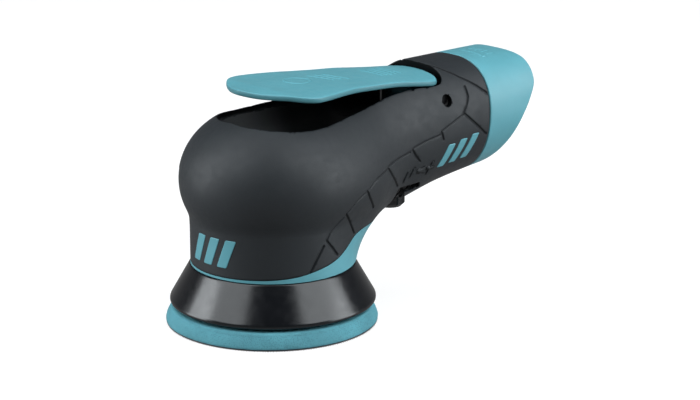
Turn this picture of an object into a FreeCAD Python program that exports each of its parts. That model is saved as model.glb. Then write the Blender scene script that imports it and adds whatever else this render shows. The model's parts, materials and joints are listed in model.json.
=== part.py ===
import FreeCAD, Part
import math
import os

# Pneumatic palm orbital sander with a 3.5 inch pad, in millimetres.
# The origin is where the motor axis meets the pad's working face. +Z is up the
# motor axis and +X points along the handle to its rear end.

os.makedirs("parts", exist_ok=True)

V = FreeCAD.Vector
X_AXIS = V(1, 0, 0)
Y_AXIS = V(0, 1, 0)
Z_AXIS = V(0, 0, 1)
FAR = 300.0

# ---------------------------------------------------------------- driving dimensions
# head: a round dome on a straight waist
HEAD_R = 38.5
HEAD_Z = 60.2
HEAD_RISE = 30.0
HEAD_DROP = 31.5
WAIST_R = 34.5
WAIST_Z = 24.9
WAIST_BLEND = 1.5

# handle: half-width, top, underside and widest height at stations along X
HANDLE_X = (0.0, 30.0, 60.0, 85.0, 105.0, 130.0)
HANDLE_TOP = (82.2, 91.2, 96.8, 98.0, 98.0, 97.5)
HANDLE_BOTTOM = (40.6, 32.0, 38.2, 43.9, 46.5, 49.0)
HANDLE_MID = (65.7, 62.9, 71.0, 73.5, 74.5, 75.0)
HANDLE_HALF_WIDTH = (22.3, 29.5, 25.0, 25.0, 24.5, 23.5)
HANDLE_TOP_POWER = (2.4, 2.4, 2.4, 2.4, 2.5, 3.0)
HANDLE_UNDER_POWER = 2.1
HANDLE_NOSE = 24.0
HEAD_HANDLE_BLEND = 19.7

# the sections of the grip turn about a line under the handle, then run straight back
TURN_X = 76.0
TURN_Z = 6.0
TURN_STEPS = 26
REAR_STEP = 4.0
REAR_X = 144.0
SECTION_POINTS = 40
SEARCH_STEP = 1.5
SEARCH_LIMIT = 90.0

SKIN = 2.2            # thickness of the rubber grip
GRIP_REAR = 103.6
HOUSING_REAR = 103.8
CAP_WALL = 2.4

# lower edge of the rubber grip, (x, z), seen from the side
GRIP_EDGE = ((-40.0, 25.6), (-30.0, 26.0), (-15.0, 27.0), (-2.0, 29.4), (7.0, 31.8),
             (14.0, 35.2), (19.0, 38.3), (24.0, 39.5), (34.0, 39.5), (44.0, 39.0))

# rear face of the exhaust cap, (x, z), seen from the side
CAP_REAR = ((124.0, 104.0), (133.0, 94.0), (133.4, 86.0), (130.5, 78.0), (125.9, 70.0),
            (120.4, 60.0), (115.5, 52.0), (110.7, 46.0), (106.1, 40.0))

# rim of the throttle recess, (x, half width), seen from above
RECESS_RIM = ((-22.5, 0.0), (-22.3, 6.0), (-20.4, 12.0), (-16.2, 17.6), (-9.0, 22.4),
              (0.0, 24.8), (9.0, 24.6), (22.0, 21.9), (36.0, 19.6), (50.0, 19.1),
              (63.0, 18.9), (74.0, 18.6), (79.7, 16.8), (81.4, 12.2), (81.0, 5.0))
RECESS_REAR_X = 80.6
RECESS_RIM_Z = 86.0
RECESS_FLOOR_Z = 72.5
RECESS_STEP_X = 47.0
RECESS_STEP_Z = 79.0
RECESS_DRAFT = 5.0
LINING = 1.6          # rubber on the recess walls

# throttle lever: height of its edge along X, and its plan as (x, half width)
LEVER_X = (-19.0, -14.0, -8.0, 0.0, 10.0, 20.0, 30.0, 40.0, 50.0, 60.0, 70.0, 80.0)
LEVER_EDGE_Z = (102.1, 100.8, 99.9, 99.3, 99.0, 98.6, 97.9, 97.1, 96.4, 95.2, 93.9, 92.8)
LEVER_CROWN = 1.8
LEVER_T = 2.6
LEVER_HALF = 28.0
LEVER_PLAN = ((-18.1, 0.0), (-17.4, 3.3), (-16.1, 6.6), (-14.1, 10.6), (-11.1, 15.4), (-7.1, 20.4),
              (-2.5, 24.7), (2.5, 26.9), (8.0, 26.5), (14.0, 25.2), (20.0, 23.6), (30.0, 21.2),
              (41.0, 20.0), (50.0, 19.3), (60.0, 18.5), (69.0, 18.0), (75.3, 16.4), (78.3, 12.4),
              (79.2, 6.0))
LEVER_REAR_X = 79.3
HUB_R = 4.4
HUB_HALF = 12.0
HUB_ROOM_R = 6.4
HUB_ROOM_HALF = 15.0
CHEEK_T = 3.0
CHEEK = ((58.0, 95.4), (79.0, 93.2), (82.6, 86.4), (81.5, 81.4), (75.5, 81.4), (69.0, 89.5))

# housing details
SPIGOT_R = 31.4
SPIGOT_LOW = 17.5
SHAFT_ROOM_R = 13.0
SHAFT_ROOM_TOP = 67.2
LOCK_RING_R = 24.0
LOCK_RING_LOW = 25.4
LOCK_NOTCHES = 6
LOCK_NOTCH = (3.0, 2.0)         # width, depth
FEED_FRONT_X = 26.0
EXHAUST_FRONT_X = 24.0
KNOB_HOLE_R = 8.4

# shroud section, (radius, height)
SHROUD = ((31.5, 24.7), (34.7, 24.7), (43.3, 9.6), (43.2, 8.7), (42.6, 8.1), (41.9, 8.0),
          (41.2, 8.3), (41.0, 9.6), (35.6, 19.0), (31.5, 19.0))

# cap details
BOSS_R = 4.4
CAP_SCREW_R = 1.5
CAP_SCREW_TIP_X = 92.0
CAP_SCREW_CLEAR_R = 1.7
CAP_SCREW_HEAD = (3.0, 2.5)     # radius, height
CAP_SCREW_SEAT_X = 108.3
CAP_SCREW_POCKET_R = 3.3
CAP_SCREW_SLOT = (0.8, 1.0)     # width, depth
LOUVRES = 7
LOUVRE_PITCH = 3.6
LOUVRE_W = 1.6
LOUVRE_FRONT_X = 104.6
LOUVRE_Z = (51.0, 54.6)
FELT_HALF = 17.0
FELT_X = (104.0, 108.2)
FELT_Z = (48.0, 55.6)

# orbit and pad
ORBIT = 2.5           # half of the 5 mm orbit
CRANK_ANGLE = math.radians(219.0)
PAD_R = 44.5
PAD_TOP_R = 42.3
PAD_EDGE_Z = 1.6
HOOK_TOP = 1.0
FOAM_TOP = 7.0
BACKING_R = 36.0
BACKING_TOP = 9.0
STUD_R = 3.97         # 5/16 inch stud
STUD_FLANGE_R = 9.0
STUD_FLANGE_TOP = 10.2
STUD_TOP = 20.0
RIVET_R = 1.2
RIVET_CIRCLE = 6.8
RIVETS = 4

# spindle and its double-row bearing, on the crank axis
SPINDLE_R = 6.0
SPINDLE_FLANGE_R = 8.0
BEARING_Z = (12.2, 24.2)
SPINDLE_RING_R = (SPINDLE_R, 8.8, 11.6, 14.0)
SPINDLE_BALL_R = 1.9
SPINDLE_BALLS = 11
CUP_R = 16.5
CUP_MOUTH_Z = 10.0
CUP_ROOF_Z = (28.0, 30.4)

# counterweight on the shaft, opposite the crank
WEIGHT_STEPS = ((27.0, 12.0, 17.0), (23.0, 17.0, 28.0))
WEIGHT_SPAN = math.radians(150.0)

# air motor on the motor axis
SHAFT_R = 6.0
SHAFT_TOP = 66.0
CAVITY_R = 28.5
LOCK_BORE_R = 28.9
LOWER_PLATE = (30.9, 38.4)
UPPER_PLATE = (57.4, 63.9)
PLATE_R = 28.4
MOTOR_RING_R = (SHAFT_R, 7.7, 10.3, 12.0)
MOTOR_RING_H = 6.0
MOTOR_BALL_R = 1.55
MOTOR_BALLS = 9
LOWER_RING_Z = 31.9
UPPER_RING_Z = 57.9
CYLINDER_R = 28.3
BORE_R = 22.0
BORE_OFFSET = 2.0
BORE_ANGLE = math.radians(150.0)
ROTOR_R = 19.9
ROTOR_GAP = 0.15
VANES = 5
VANE_T = 1.5
VANE_DEPTH = 9.0
VANE_CLEAR = 0.05
VANE_TIP_R = 19.8
SLOT_BOTTOM_R = 10.4

# air passage, throttle valve, speed valve and inlet
AIR_Z = 67.0
AIR_R = 8.0
AIR_FRONT_X = 54.0
SEAT_X = (77.0, 79.5)
STEM_X = 62.3
STEM_R = 1.75
STEM_Z = (68.5, 93.8)
STEM_BUSH_R = 3.4
STEM_GROOVE = 0.95
PIN_X = 78.5
PIN_Z = 84.7
PIN_R = 2.0
PIN_HALF = 20.8
PIN_HOLE_R = 2.5
VALVE_DISC_R = 6.4
VALVE_DISC_X = (80.6, 83.0)
VALVE_PIN_R = 1.25
VALVE_PIN_X = 60.2
SEAT_HOLE_R = 4.0
PIN_CLEAR = 0.05
SEAT_CLEAR = 0.05
VALVE_CLEAR = 0.05
STEM_CLEAR = 0.05
RING_GROOVE = 0.8
KNOB_X = 66.8
KNOB_R = 6.6
KNOB_Z = (35.9, 40.7)
KNOB_TAPER = 1.6
KNOB_FLUTE_R = 1.0
KNOB_FLUTE_OUT = 0.4
VALVE_R = 6.0
FEED_Z = 53.4
FEED_R = 3.6
EXHAUST_Y = 12.0
EXHAUST_Z = 54.0
EXHAUST_R = 3.5
INLET_R = 5.7         # 1/4 inch NPT female thread
INLET_THREAD_R = 9.0
INLET_COLLAR_R = 10.5
INLET_FRONT_X = 98.0
INLET_MOUTH_X = 127.0
CAP_SCREWS = ((15.5, 84.0), (14.0, 61.5))
STEM_SEAL_Z = 76.6
SPRING_X = (83.6, 97.4)
SPRING_R = (4.6, 5.8)
SPRING_TURNS = 5
SPRING_STEPS = 14
SPRING_SIDES = 10
SPRING_WIRE_R = 0.45
INLET_FLATS = 18.0
INLET_STEP_X = 113.0
INLET_THROAT_R = 4.5
INLET_GROOVE_R = 8.9
INLET_FLATS_LENGTH = 6.0
SCREEN_X = (111.8, 112.6)
SCREEN_HOLES = ((0.0, 1), (1.6, 6), (3.2, 12))
SCREEN_HOLE_R = 0.5
KNOB_FLUTES = 10
KNOB_NECK_R = 5.0
FLANGE_R = 7.1
FLANGE_Z = (46.2, 47.4)
RING_T = 1.0
VALVE_SEAL_Z = 48.7
VALVE_SEAL_GROOVE = 1.2
VALVE_BORE_R = 4.2
WINDOW_R = 3.2

# motor and spindle details
GALLERY_Z = (44.0, 56.0)
DOWEL_R = 1.25
DOWEL_CIRCLE = 25.0
DOWEL_DEPTH = 3.0
SEAL_R = 22.0
SEAL_GROOVE = 1.6
SHIELD_HOLE_R = 8.2
VANE_START = 20.0
KEY_Z = (43.0, 53.0)
CLIP_Z = (63.95, 64.95)
SNAP_Z = (11.1, 12.2)
SCREW_R = 2.5
WASHER_T = 1.0
PLATE_HOLE_R = 9.2
GALLERY_DEPTH = 1.4
GALLERY_STOP = 7.0
EXHAUST_SLOTS = (150, 175, 200, 225)
EXHAUST_SLOT_W = 2.4
KEY_W = 3.0
CUP_LIP = 1.6
SNAP_DEPTH = 0.7
SPINDLE_FLATS = 13.0
SCREW_HEAD = (4.2, 2.4)          # radius, height
SOCKET_R = 1.9
RIVET_HEAD_R = 2.1
RIVET_HEAD_T = 0.6

CRANK = V(ORBIT * math.cos(CRANK_ANGLE), ORBIT * math.sin(CRANK_ANGLE), 0)
ORIGIN = V(0, 0, 0)


# ---------------------------------------------------------------- helpers
def in_front_of(x):
    """Half space on the -X side of a plane."""
    return Part.makeBox(x + FAR, 2 * FAR, FAR, V(-FAR, -FAR, 0))


def behind(x):
    """Half space on the +X side of a plane."""
    return Part.makeBox(FAR, 2 * FAR, FAR, V(x, -FAR, 0))


def rod(radius, low, high, at=ORIGIN):
    """Upright cylinder from height low to height high."""
    return Part.makeCylinder(radius, high - low, at + V(0, 0, low), Z_AXIS)


def tube(outer, inner, low, high, at=ORIGIN):
    """Upright tube."""
    return rod(outer, low, high, at).cut(rod(inner, low, high, at))


def rod_x(radius, low, high, y, z):
    """Cylinder along X."""
    return Part.makeCylinder(radius, high - low, V(low, y, z), X_AXIS)


def o_ring(inner, outer, at, axis):
    """Rubber ring between an inner and an outer radius."""
    return Part.makeTorus((inner + outer) / 2, (outer - inner) / 2, at, axis)


def tube_x(outer, inner, low, high, y, z):
    """Tube along X."""
    return rod_x(outer, low, high, y, z).cut(rod_x(inner, low, high, y, z))


def rod_y(radius, low, high, x, z):
    """Cylinder along Y."""
    return Part.makeCylinder(radius, high - low, V(x, low, z), Y_AXIS)


def block(low, high):
    """Box between two corners."""
    return Part.makeBox(high[0] - low[0], high[1] - low[1], high[2] - low[2], V(*low))


def fused(shapes):
    """One solid from shapes that overlap or touch."""
    whole = shapes[0]
    for shape in shapes[1:]:
        whole = whole.fuse(shape)
    return whole.removeSplitter()


def group(shapes):
    """Separate solids that share one node."""
    return Part.makeCompound(shapes)


def turned(profile, at=ORIGIN):
    """Solid of revolution about an upright axis from (radius, z) points."""
    points = [V(radius, 0, z) for radius, z in profile]
    wire = Part.makePolygon(points + [points[0]])
    solid = Part.Face(wire).revolve(ORIGIN, Z_AXIS, 360)
    solid.translate(at)
    return solid


def spline_prism(points, corners, half):
    """Solid along Y: a smooth curve through (x, z) points, closed by straight corners."""
    curve = Part.BSplineCurve()
    curve.interpolate([V(x, -half, z) for x, z in points])
    line = [V(points[-1][0], -half, points[-1][1])]
    line += [V(x, -half, z) for x, z in corners]
    line += [V(points[0][0], -half, points[0][1])]
    wire = Part.Wire([curve.toShape()] + Part.makePolygon(line).Edges)
    return Part.Face(wire).extrude(V(0, 2 * half, 0))


def plate_xz(points, low_y, high_y):
    """Flat plate from (x, z) corners between two Y values."""
    corners = [V(x, low_y, z) for x, z in points]
    wire = Part.makePolygon(corners + [corners[0]])
    return Part.Face(wire).extrude(V(0, high_y - low_y, 0))


def along(stations, values, x):
    """Monotone cubic interpolation of values at stations, held at both ends."""
    if x <= stations[0]:
        return values[0]
    if x >= stations[-1]:
        return values[-1]
    spans = [b - a for a, b in zip(stations, stations[1:])]
    rates = [(b - a) / span for a, b, span in zip(values, values[1:], spans)]
    slopes = [rates[0]]
    for before, after in zip(rates, rates[1:]):
        slopes.append(0.0 if before * after <= 0 else 2 * before * after / (before + after))
    slopes.append(rates[-1])
    i = max(k for k in range(len(spans)) if stations[k] <= x)
    t = (x - stations[i]) / spans[i]
    rise = values[i + 1] - values[i]
    start = slopes[i] * spans[i]
    end = slopes[i + 1] * spans[i]
    return values[i] + t * (start + t * (3 * rise - 2 * start - end + t * (start + end - 2 * rise)))


def soft_min(a, b, width):
    """Smaller of two values with a rounded change-over."""
    overlap = max(width - abs(a - b), 0.0) / width
    return min(a, b) - overlap * overlap * width / 4


# ---------------------------------------------------------------- grip surface
def head_depth(x, y, z):
    """Signed distance, negative inside, to the domed head on its waist."""
    radius = math.hypot(x, y)
    rise = z - HEAD_Z
    if rise >= 0:
        scale = math.hypot(radius / HEAD_R, rise / HEAD_RISE)
        return math.hypot(radius, rise) * (1 - 1 / max(scale, 1e-6))
    under = HEAD_R * math.sqrt(max(1 - (rise / HEAD_DROP) ** 2, 0.0))
    return radius + soft_min(-under, -WAIST_R, WAIST_BLEND)


def handle_depth(x, y, z):
    """Signed distance, negative inside, to the handle's superellipse sections."""
    back = max(x, 0.0)
    nose = max(-x, 0.0)
    top = along(HANDLE_X, HANDLE_TOP, back)
    bottom = along(HANDLE_X, HANDLE_BOTTOM, back)
    middle = along(HANDLE_X, HANDLE_MID, back)
    half_width = along(HANDLE_X, HANDLE_HALF_WIDTH, back)
    rise = z - middle
    height = top - middle if rise > 0 else middle - bottom
    power = along(HANDLE_X, HANDLE_TOP_POWER, back) if rise > 0 else HANDLE_UNDER_POWER
    terms = (abs(y) / half_width) ** power + (abs(rise) / height) ** power
    scale = (terms + (nose / HANDLE_NOSE) ** power) ** (1 / power)
    return math.sqrt(y * y + rise * rise + nose * nose) * (1 - 1 / max(scale, 1e-6))


def grip_depth(x, y, z):
    """Signed distance to the whole grip: head and handle flow into each other."""
    return soft_min(head_depth(x, y, z), handle_depth(x, y, z), HEAD_HANDLE_BLEND)


def edge_distance(centre, direction, inset):
    """How far the grip surface is from a centre along a direction."""
    inside = 0.0
    outside = SEARCH_STEP
    while outside < SEARCH_LIMIT:
        point = centre + direction * outside
        if grip_depth(point.x, point.y, point.z) + inset > 0:
            break
        inside = outside
        outside += SEARCH_STEP
    for _ in range(16):
        middle = (inside + outside) / 2
        point = centre + direction * middle
        if grip_depth(point.x, point.y, point.z) + inset > 0:
            outside = middle
        else:
            inside = middle
    return inside


def section_planes():
    """Pivot point and up direction of each section from below the waist to the rear end."""
    planes = []
    for step in range(TURN_STEPS + 1):
        angle = math.pi / 2 * step / TURN_STEPS
        planes.append((V(TURN_X, 0, TURN_Z), V(-math.cos(angle), 0, math.sin(angle))))
    x = TURN_X + REAR_STEP
    while x <= REAR_X:
        planes.append((V(x, 0, TURN_Z), Z_AXIS))
        x += REAR_STEP
    return planes


def even_steps(count):
    """Evenly spaced curve parameters from 0 to 1."""
    return [k / count for k in range(count + 1)]


def ring_curve(points):
    """Closed smooth curve through points, evenly timed so that curves can be skinned."""
    curve = Part.BSplineCurve()
    curve.interpolate(points, PeriodicFlag=True, Parameters=even_steps(len(points)))
    return curve


def skinned(curves):
    """Solid with one smooth skin through closed curves, and two flat ends."""
    lines = []
    for poles in zip(*[curve.getPoles() for curve in curves]):
        line = Part.BSplineCurve()
        line.interpolate(list(poles), Parameters=even_steps(len(curves) - 1))
        lines.append(line)
    around = curves[0]
    length = lines[0]
    skin = Part.BSplineSurface()
    skin.buildFromPolesMultsKnots([line.getPoles() for line in lines], around.getMultiplicities(),
                                  length.getMultiplicities(), around.getKnots(), length.getKnots(),
                                  True, False, around.Degree, length.Degree)
    ends = [Part.Face(Part.Wire([curve.toShape()])) for curve in (curves[0], curves[-1])]
    shell = Part.Shell([skin.toShape()] + ends)
    shell.sewShape()
    return Part.Solid(shell)


def section_curve(pivot, up, inset):
    """Closed smooth outline of the grip in one section plane."""
    reach = [pivot + up * (2 + k) for k in range(150)]
    inside = [p for p in reach if grip_depth(p.x, p.y, p.z) + inset < 0]
    start = (inside[0] + inside[-1]) * 0.5
    rise = edge_distance(start, up, inset)
    fall = edge_distance(start, up * -1, inset)
    centre = start + up * ((rise - fall) / 2)
    points = []
    for k in range(SECTION_POINTS):
        turn = 2 * math.pi * k / SECTION_POINTS
        direction = up * math.cos(turn) + Y_AXIS * math.sin(turn)
        points.append(centre + direction * edge_distance(centre, direction, inset))
    return ring_curve(points)


def grip_solid(inset):
    """The grip's outer shape, or the same shape a little smaller, above the waist's lower edge."""
    whole = skinned([section_curve(pivot, up, inset) for pivot, up in section_planes()])
    return whole.common(block((-FAR, -FAR, WAIST_Z), (FAR, FAR, FAR)))


def rim_points(grow):
    """Closed outline of the throttle recess, moved out by grow."""
    half = list(RECESS_RIM)
    outline = half + [(RECESS_REAR_X, 0.0)] + [(x, -y) for x, y in reversed(half[1:])]
    count = len(outline)
    moved = []
    for k in range(count):
        after = outline[(k + 1) % count]
        before = outline[k - 1]
        dx = after[0] - before[0]
        dy = after[1] - before[1]
        size = math.hypot(dx, dy)
        moved.append((outline[k][0] - grow * dy / size, outline[k][1] + grow * dx / size))
    return moved


def rim_wire(grow, z):
    """The recess outline as a smooth wire at one height."""
    curve = Part.BSplineCurve()
    curve.interpolate([V(x, y, z) for x, y in rim_points(grow)], PeriodicFlag=True)
    return Part.Wire([curve.toShape()])


def recess(grow):
    """The throttle recess: straight at the rim, drafted walls below and a raised rear floor."""
    floor = RECESS_FLOOR_Z - grow
    straight = Part.Face(rim_wire(grow, RECESS_RIM_Z)).extrude(V(0, 0, 40))
    bowl = Part.makeLoft([rim_wire(grow - RECESS_DRAFT, floor), rim_wire(grow, RECESS_RIM_Z)], True, True)
    step = block((RECESS_STEP_X - grow, -40, floor - 5), (FAR, 40, RECESS_STEP_Z - grow))
    return straight.fuse(bowl.cut(step))


def below_edge():
    """Everything under the lower edge of the rubber grip."""
    return spline_prism(GRIP_EDGE, ((44.0, 0.0), (-40.0, 0.0)), 60.0)


def ahead_of_cap_face(shift):
    """Everything in front of the cap's curved rear face, moved forwards by shift."""
    points = [(x - shift, z) for x, z in CAP_REAR]
    return spline_prism(points, ((0.0, 40.0), (0.0, 104.0)), 60.0)


# ---------------------------------------------------------------- housing parts
OUTER = grip_solid(0.0)
CORE = grip_solid(SKIN)


def cap_screw_spots():
    """The (y, z) places of the four cap screws."""
    return [(side * y, z) for side in (-1, 1) for y, z in CAP_SCREWS]


def hub_room():
    """Room for the lever's hub around its pin."""
    return rod_y(HUB_ROOM_R, -HUB_ROOM_HALF, HUB_ROOM_HALF, PIN_X, PIN_Z)


def housing():
    """Moulded body: motor cavity, air passages, recess and the spigot for the shroud."""
    body = CORE.cut(recess(LINING)).fuse(OUTER.common(below_edge())).common(in_front_of(HOUSING_REAR))
    spigot = tube(SPIGOT_R, LOCK_BORE_R, SPIGOT_LOW, WAIST_Z)
    body = body.cut(rod(CAVITY_R, WAIST_Z - 1, UPPER_PLATE[1])).fuse(spigot)
    knob_at = V(KNOB_X, 0, 0)
    ring_room = (FLANGE_Z[0] - RING_T - 0.1, FLANGE_Z[0])
    cuts = [
        rod(LOCK_BORE_R, WAIST_Z - 1, LOWER_PLATE[0]),
        rod(SHAFT_ROOM_R, UPPER_PLATE[1] - 1, SHAFT_ROOM_TOP),
        rod_x(FEED_R, FEED_FRONT_X, KNOB_X, 0, FEED_Z),
        rod_x(AIR_R, AIR_FRONT_X, HOUSING_REAR + 1, 0, AIR_Z),
        rod_x(INLET_THREAD_R, INLET_FRONT_X, HOUSING_REAR + 1, 0, AIR_Z),
        rod(STEM_BUSH_R, AIR_Z, RECESS_STEP_Z + 1, V(STEM_X, 0, 0)),
        rod(VALVE_R + VALVE_CLEAR, 0, AIR_Z, knob_at),
        rod(FLANGE_R, 0, FLANGE_Z[1], knob_at),
        rod(FLANGE_R + RING_GROOVE, ring_room[0], ring_room[1], knob_at),
        rod_y(PIN_R, -FAR, FAR, PIN_X, PIN_Z),
        hub_room(),
    ]
    for side in (-1, 1):
        cuts.append(rod_x(EXHAUST_R, EXHAUST_FRONT_X, HOUSING_REAR + 1, side * EXHAUST_Y, EXHAUST_Z))
    for y, z in cap_screw_spots():
        cuts.append(rod_x(CAP_SCREW_R, CAP_SCREW_TIP_X, HOUSING_REAR + 1, y, z))
    for tool in cuts:
        body = body.cut(tool)
    return body.removeSplitter()


def grip_overmold():
    """Rubber skin over the head and handle; it also lines the throttle recess."""
    skin = OUTER.common(in_front_of(GRIP_REAR)).cut(below_edge()).cut(CORE.cut(recess(LINING)))
    skin = skin.cut(recess(0.0))
    skin = skin.cut(rod_y(PIN_HOLE_R, -FAR, FAR, PIN_X, PIN_Z))
    skin = skin.cut(hub_room())
    skin = skin.cut(rod(STEM_BUSH_R, AIR_Z, RECESS_STEP_Z + 1, V(STEM_X, 0, 0)))
    skin = skin.cut(rod(KNOB_HOLE_R, 0, FLANGE_Z[1], V(KNOB_X, 0, 0)))
    return skin.removeSplitter()


def exhaust_cap():
    """Rear cap: a shell with screw bosses, the inlet hole and exhaust louvres."""
    outside = OUTER.common(ahead_of_cap_face(0.0)).common(behind(HOUSING_REAR))
    inside = grip_solid(CAP_WALL).common(ahead_of_cap_face(CAP_WALL))
    shell = outside.cut(inside)
    for y, z in cap_screw_spots():
        shell = shell.fuse(rod_x(BOSS_R, HOUSING_REAR, FAR, y, z).common(outside))
    shell = shell.cut(rod_x(INLET_COLLAR_R + 0.2, HOUSING_REAR - 1, FAR, 0, AIR_Z))
    for y, z in cap_screw_spots():
        shell = shell.cut(rod_x(CAP_SCREW_CLEAR_R, HOUSING_REAR - 1, FAR, y, z))
        shell = shell.cut(rod_x(CAP_SCREW_POCKET_R, CAP_SCREW_SEAT_X, FAR, y, z))
    for k in range(LOUVRES):
        y = LOUVRE_PITCH * (k - (LOUVRES - 1) / 2)
        slot = block((LOUVRE_FRONT_X, y - LOUVRE_W / 2, LOUVRE_Z[0]), (FAR, y + LOUVRE_W / 2, LOUVRE_Z[1]))
        shell = shell.cut(slot)
    return shell.removeSplitter()


def exhaust_cap_screws():
    """Four screws that hold the cap, one solid each."""
    screws = []
    radius, height = CAP_SCREW_HEAD
    width, depth = CAP_SCREW_SLOT
    top = CAP_SCREW_SEAT_X + height
    for y, z in cap_screw_spots():
        shank = rod_x(CAP_SCREW_R, CAP_SCREW_TIP_X + 1, CAP_SCREW_SEAT_X, y, z)
        head = rod_x(radius, CAP_SCREW_SEAT_X, top, y, z)
        slot = block((top - depth, y - radius, z - width / 2), (FAR, y + radius, z + width / 2))
        screws.append(shank.fuse(head).cut(slot))
    return group(screws)


def muffler_felt():
    """Felt block in the cap's lower chamber, in front of the louvres."""
    felt = block((FELT_X[0], -FELT_HALF, FELT_Z[0]), (FELT_X[1], FELT_HALF, FELT_Z[1]))
    return felt.common(grip_solid(CAP_WALL + 0.2)).common(ahead_of_cap_face(CAP_WALL + 0.2))


def shroud():
    """Conical skirt over the pad, snapped on the housing spigot."""
    return turned(SHROUD)


def lock_ring():
    """Threaded ring that clamps the motor in the housing, with spanner notches."""
    ring = tube(LOCK_BORE_R, LOCK_RING_R, LOCK_RING_LOW, LOWER_PLATE[0])
    width, depth = LOCK_NOTCH
    for k in range(LOCK_NOTCHES):
        notch = block((LOCK_RING_R - 4, -width / 2, 0), (LOCK_RING_R + 3, width / 2, LOCK_RING_LOW + depth))
        notch.rotate(ORIGIN, Z_AXIS, 360 / LOCK_NOTCHES * k)
        ring = ring.cut(notch)
    return ring


# ---------------------------------------------------------------- throttle
def lever_section(x, lift):
    """Arched cross-section of the lever plate at one X."""
    edge = along(LEVER_X, LEVER_EDGE_Z, x) + lift
    top = Part.Arc(V(x, -LEVER_HALF, edge), V(x, 0, edge + LEVER_CROWN), V(x, LEVER_HALF, edge)).toShape()
    low = edge - LEVER_T
    under = Part.Arc(V(x, LEVER_HALF, low), V(x, 0, low + LEVER_CROWN), V(x, -LEVER_HALF, low)).toShape()
    right = Part.makeLine(V(x, LEVER_HALF, edge), V(x, LEVER_HALF, low))
    left = Part.makeLine(V(x, -LEVER_HALF, low), V(x, -LEVER_HALF, edge))
    return Part.Wire([top, right, under, left])


def throttle_lever():
    """Arched palm lever with two cheeks and a hub on the pin."""
    slab = Part.makeLoft([lever_section(x, 0.0) for x in LEVER_X], True, False)
    half = list(LEVER_PLAN)
    outline = half + [(LEVER_REAR_X, 0.0)] + [(x, -y) for x, y in reversed(half[1:])]
    curve = Part.BSplineCurve()
    curve.interpolate([V(x, y, 80) for x, y in outline], PeriodicFlag=True)
    plate = slab.common(Part.Face(Part.Wire([curve.toShape()])).extrude(V(0, 0, 40)))
    parts = [plate, rod_y(HUB_R, -HUB_HALF, HUB_HALF, PIN_X, PIN_Z)]
    for low in (-HUB_HALF, HUB_HALF - CHEEK_T):
        parts.append(plate_xz(CHEEK, low, low + CHEEK_T))
    lever = fused(parts)
    return lever.cut(rod_y(PIN_R + PIN_CLEAR, -FAR, FAR, PIN_X, PIN_Z))


def tip_valve():
    """Valve disc with the long pin that the stem tips."""
    disc = rod_x(VALVE_DISC_R, VALVE_DISC_X[0], VALVE_DISC_X[1], 0, AIR_Z)
    pin = rod_x(VALVE_PIN_R, VALVE_PIN_X, VALVE_DISC_X[1], 0, AIR_Z)
    return disc.fuse(pin).removeSplitter()


def valve_spring():
    """Conical compression spring that closes the tip valve."""
    steps = SPRING_TURNS * SPRING_STEPS
    curves = []
    for step in range(steps + 1):
        part = step / steps
        turn = 2 * math.pi * SPRING_TURNS * part
        radius = SPRING_R[0] + (SPRING_R[1] - SPRING_R[0]) * part
        outward = V(0, math.cos(turn), math.sin(turn))
        centre = outward * radius + V(SPRING_X[0] + (SPRING_X[1] - SPRING_X[0]) * part, 0, AIR_Z)
        points = []
        for k in range(SPRING_SIDES):
            around = 2 * math.pi * k / SPRING_SIDES
            points.append(centre + (outward * math.cos(around) + X_AXIS * math.sin(around)) * SPRING_WIRE_R)
        curves.append(ring_curve(points))
    return skinned(curves)


def tip_valve_seal():
    """Rubber washer on the front of the valve disc."""
    return tube_x(VALVE_DISC_R - 0.1, VALVE_PIN_R, SEAT_X[1] + SEAT_CLEAR, VALVE_DISC_X[0], 0, AIR_Z)


def valve_seat():
    """Seat ring pressed in the air passage."""
    return tube_x(AIR_R, SEAT_HOLE_R, SEAT_X[0], SEAT_X[1], 0, AIR_Z)


def valve_stem():
    """Push rod from the lever's underside down to the valve pin."""
    return rod(STEM_R, STEM_Z[0], STEM_Z[1], V(STEM_X, 0, 0))


def stem_bushing():
    """Brass guide for the push rod, with a groove for its seal."""
    at = V(STEM_X, 0, 0)
    bush = tube(STEM_BUSH_R, STEM_R + STEM_CLEAR, AIR_Z + AIR_R - 0.6, RECESS_STEP_Z, at)
    return bush.cut(rod(STEM_R + STEM_GROOVE, STEM_SEAL_Z - 0.5, STEM_SEAL_Z + 0.5, at))


def stem_seal_ring():
    """O-ring around the push rod."""
    return o_ring(STEM_R + 0.1, STEM_R + STEM_GROOVE - 0.01, V(STEM_X, 0, STEM_SEAL_Z), Z_AXIS)


def lever_pin():
    """Cross pin that the lever turns on."""
    return rod_y(PIN_R, -PIN_HALF, PIN_HALF, PIN_X, PIN_Z)


def inlet_bushing():
    """Threaded air inlet: a collar outside, a screwed body inside and a stepped bore."""
    body = rod_x(INLET_THREAD_R, INLET_FRONT_X, HOUSING_REAR, 0, AIR_Z)
    collar = rod_x(INLET_COLLAR_R, HOUSING_REAR, INLET_MOUTH_X, 0, AIR_Z)
    flats_x = INLET_MOUTH_X - INLET_FLATS_LENGTH
    flats = block((flats_x, -INLET_FLATS / 2, 0), (FAR, INLET_FLATS / 2, FAR))
    beyond = block((flats_x, -FAR, 0), (FAR, FAR, FAR)).cut(flats)
    bushing = body.fuse(collar).cut(beyond)
    bushing = bushing.cut(rod_x(INLET_THROAT_R, 90, FAR / 2, 0, AIR_Z))
    bushing = bushing.cut(rod_x(INLET_R, INLET_STEP_X, FAR / 2, 0, AIR_Z))
    groove = tube_x(INLET_GROOVE_R + 1.1, INLET_GROOVE_R, HOUSING_REAR - 0.1, HOUSING_REAR + 1, 0, AIR_Z)
    return bushing.cut(groove).removeSplitter()


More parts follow.
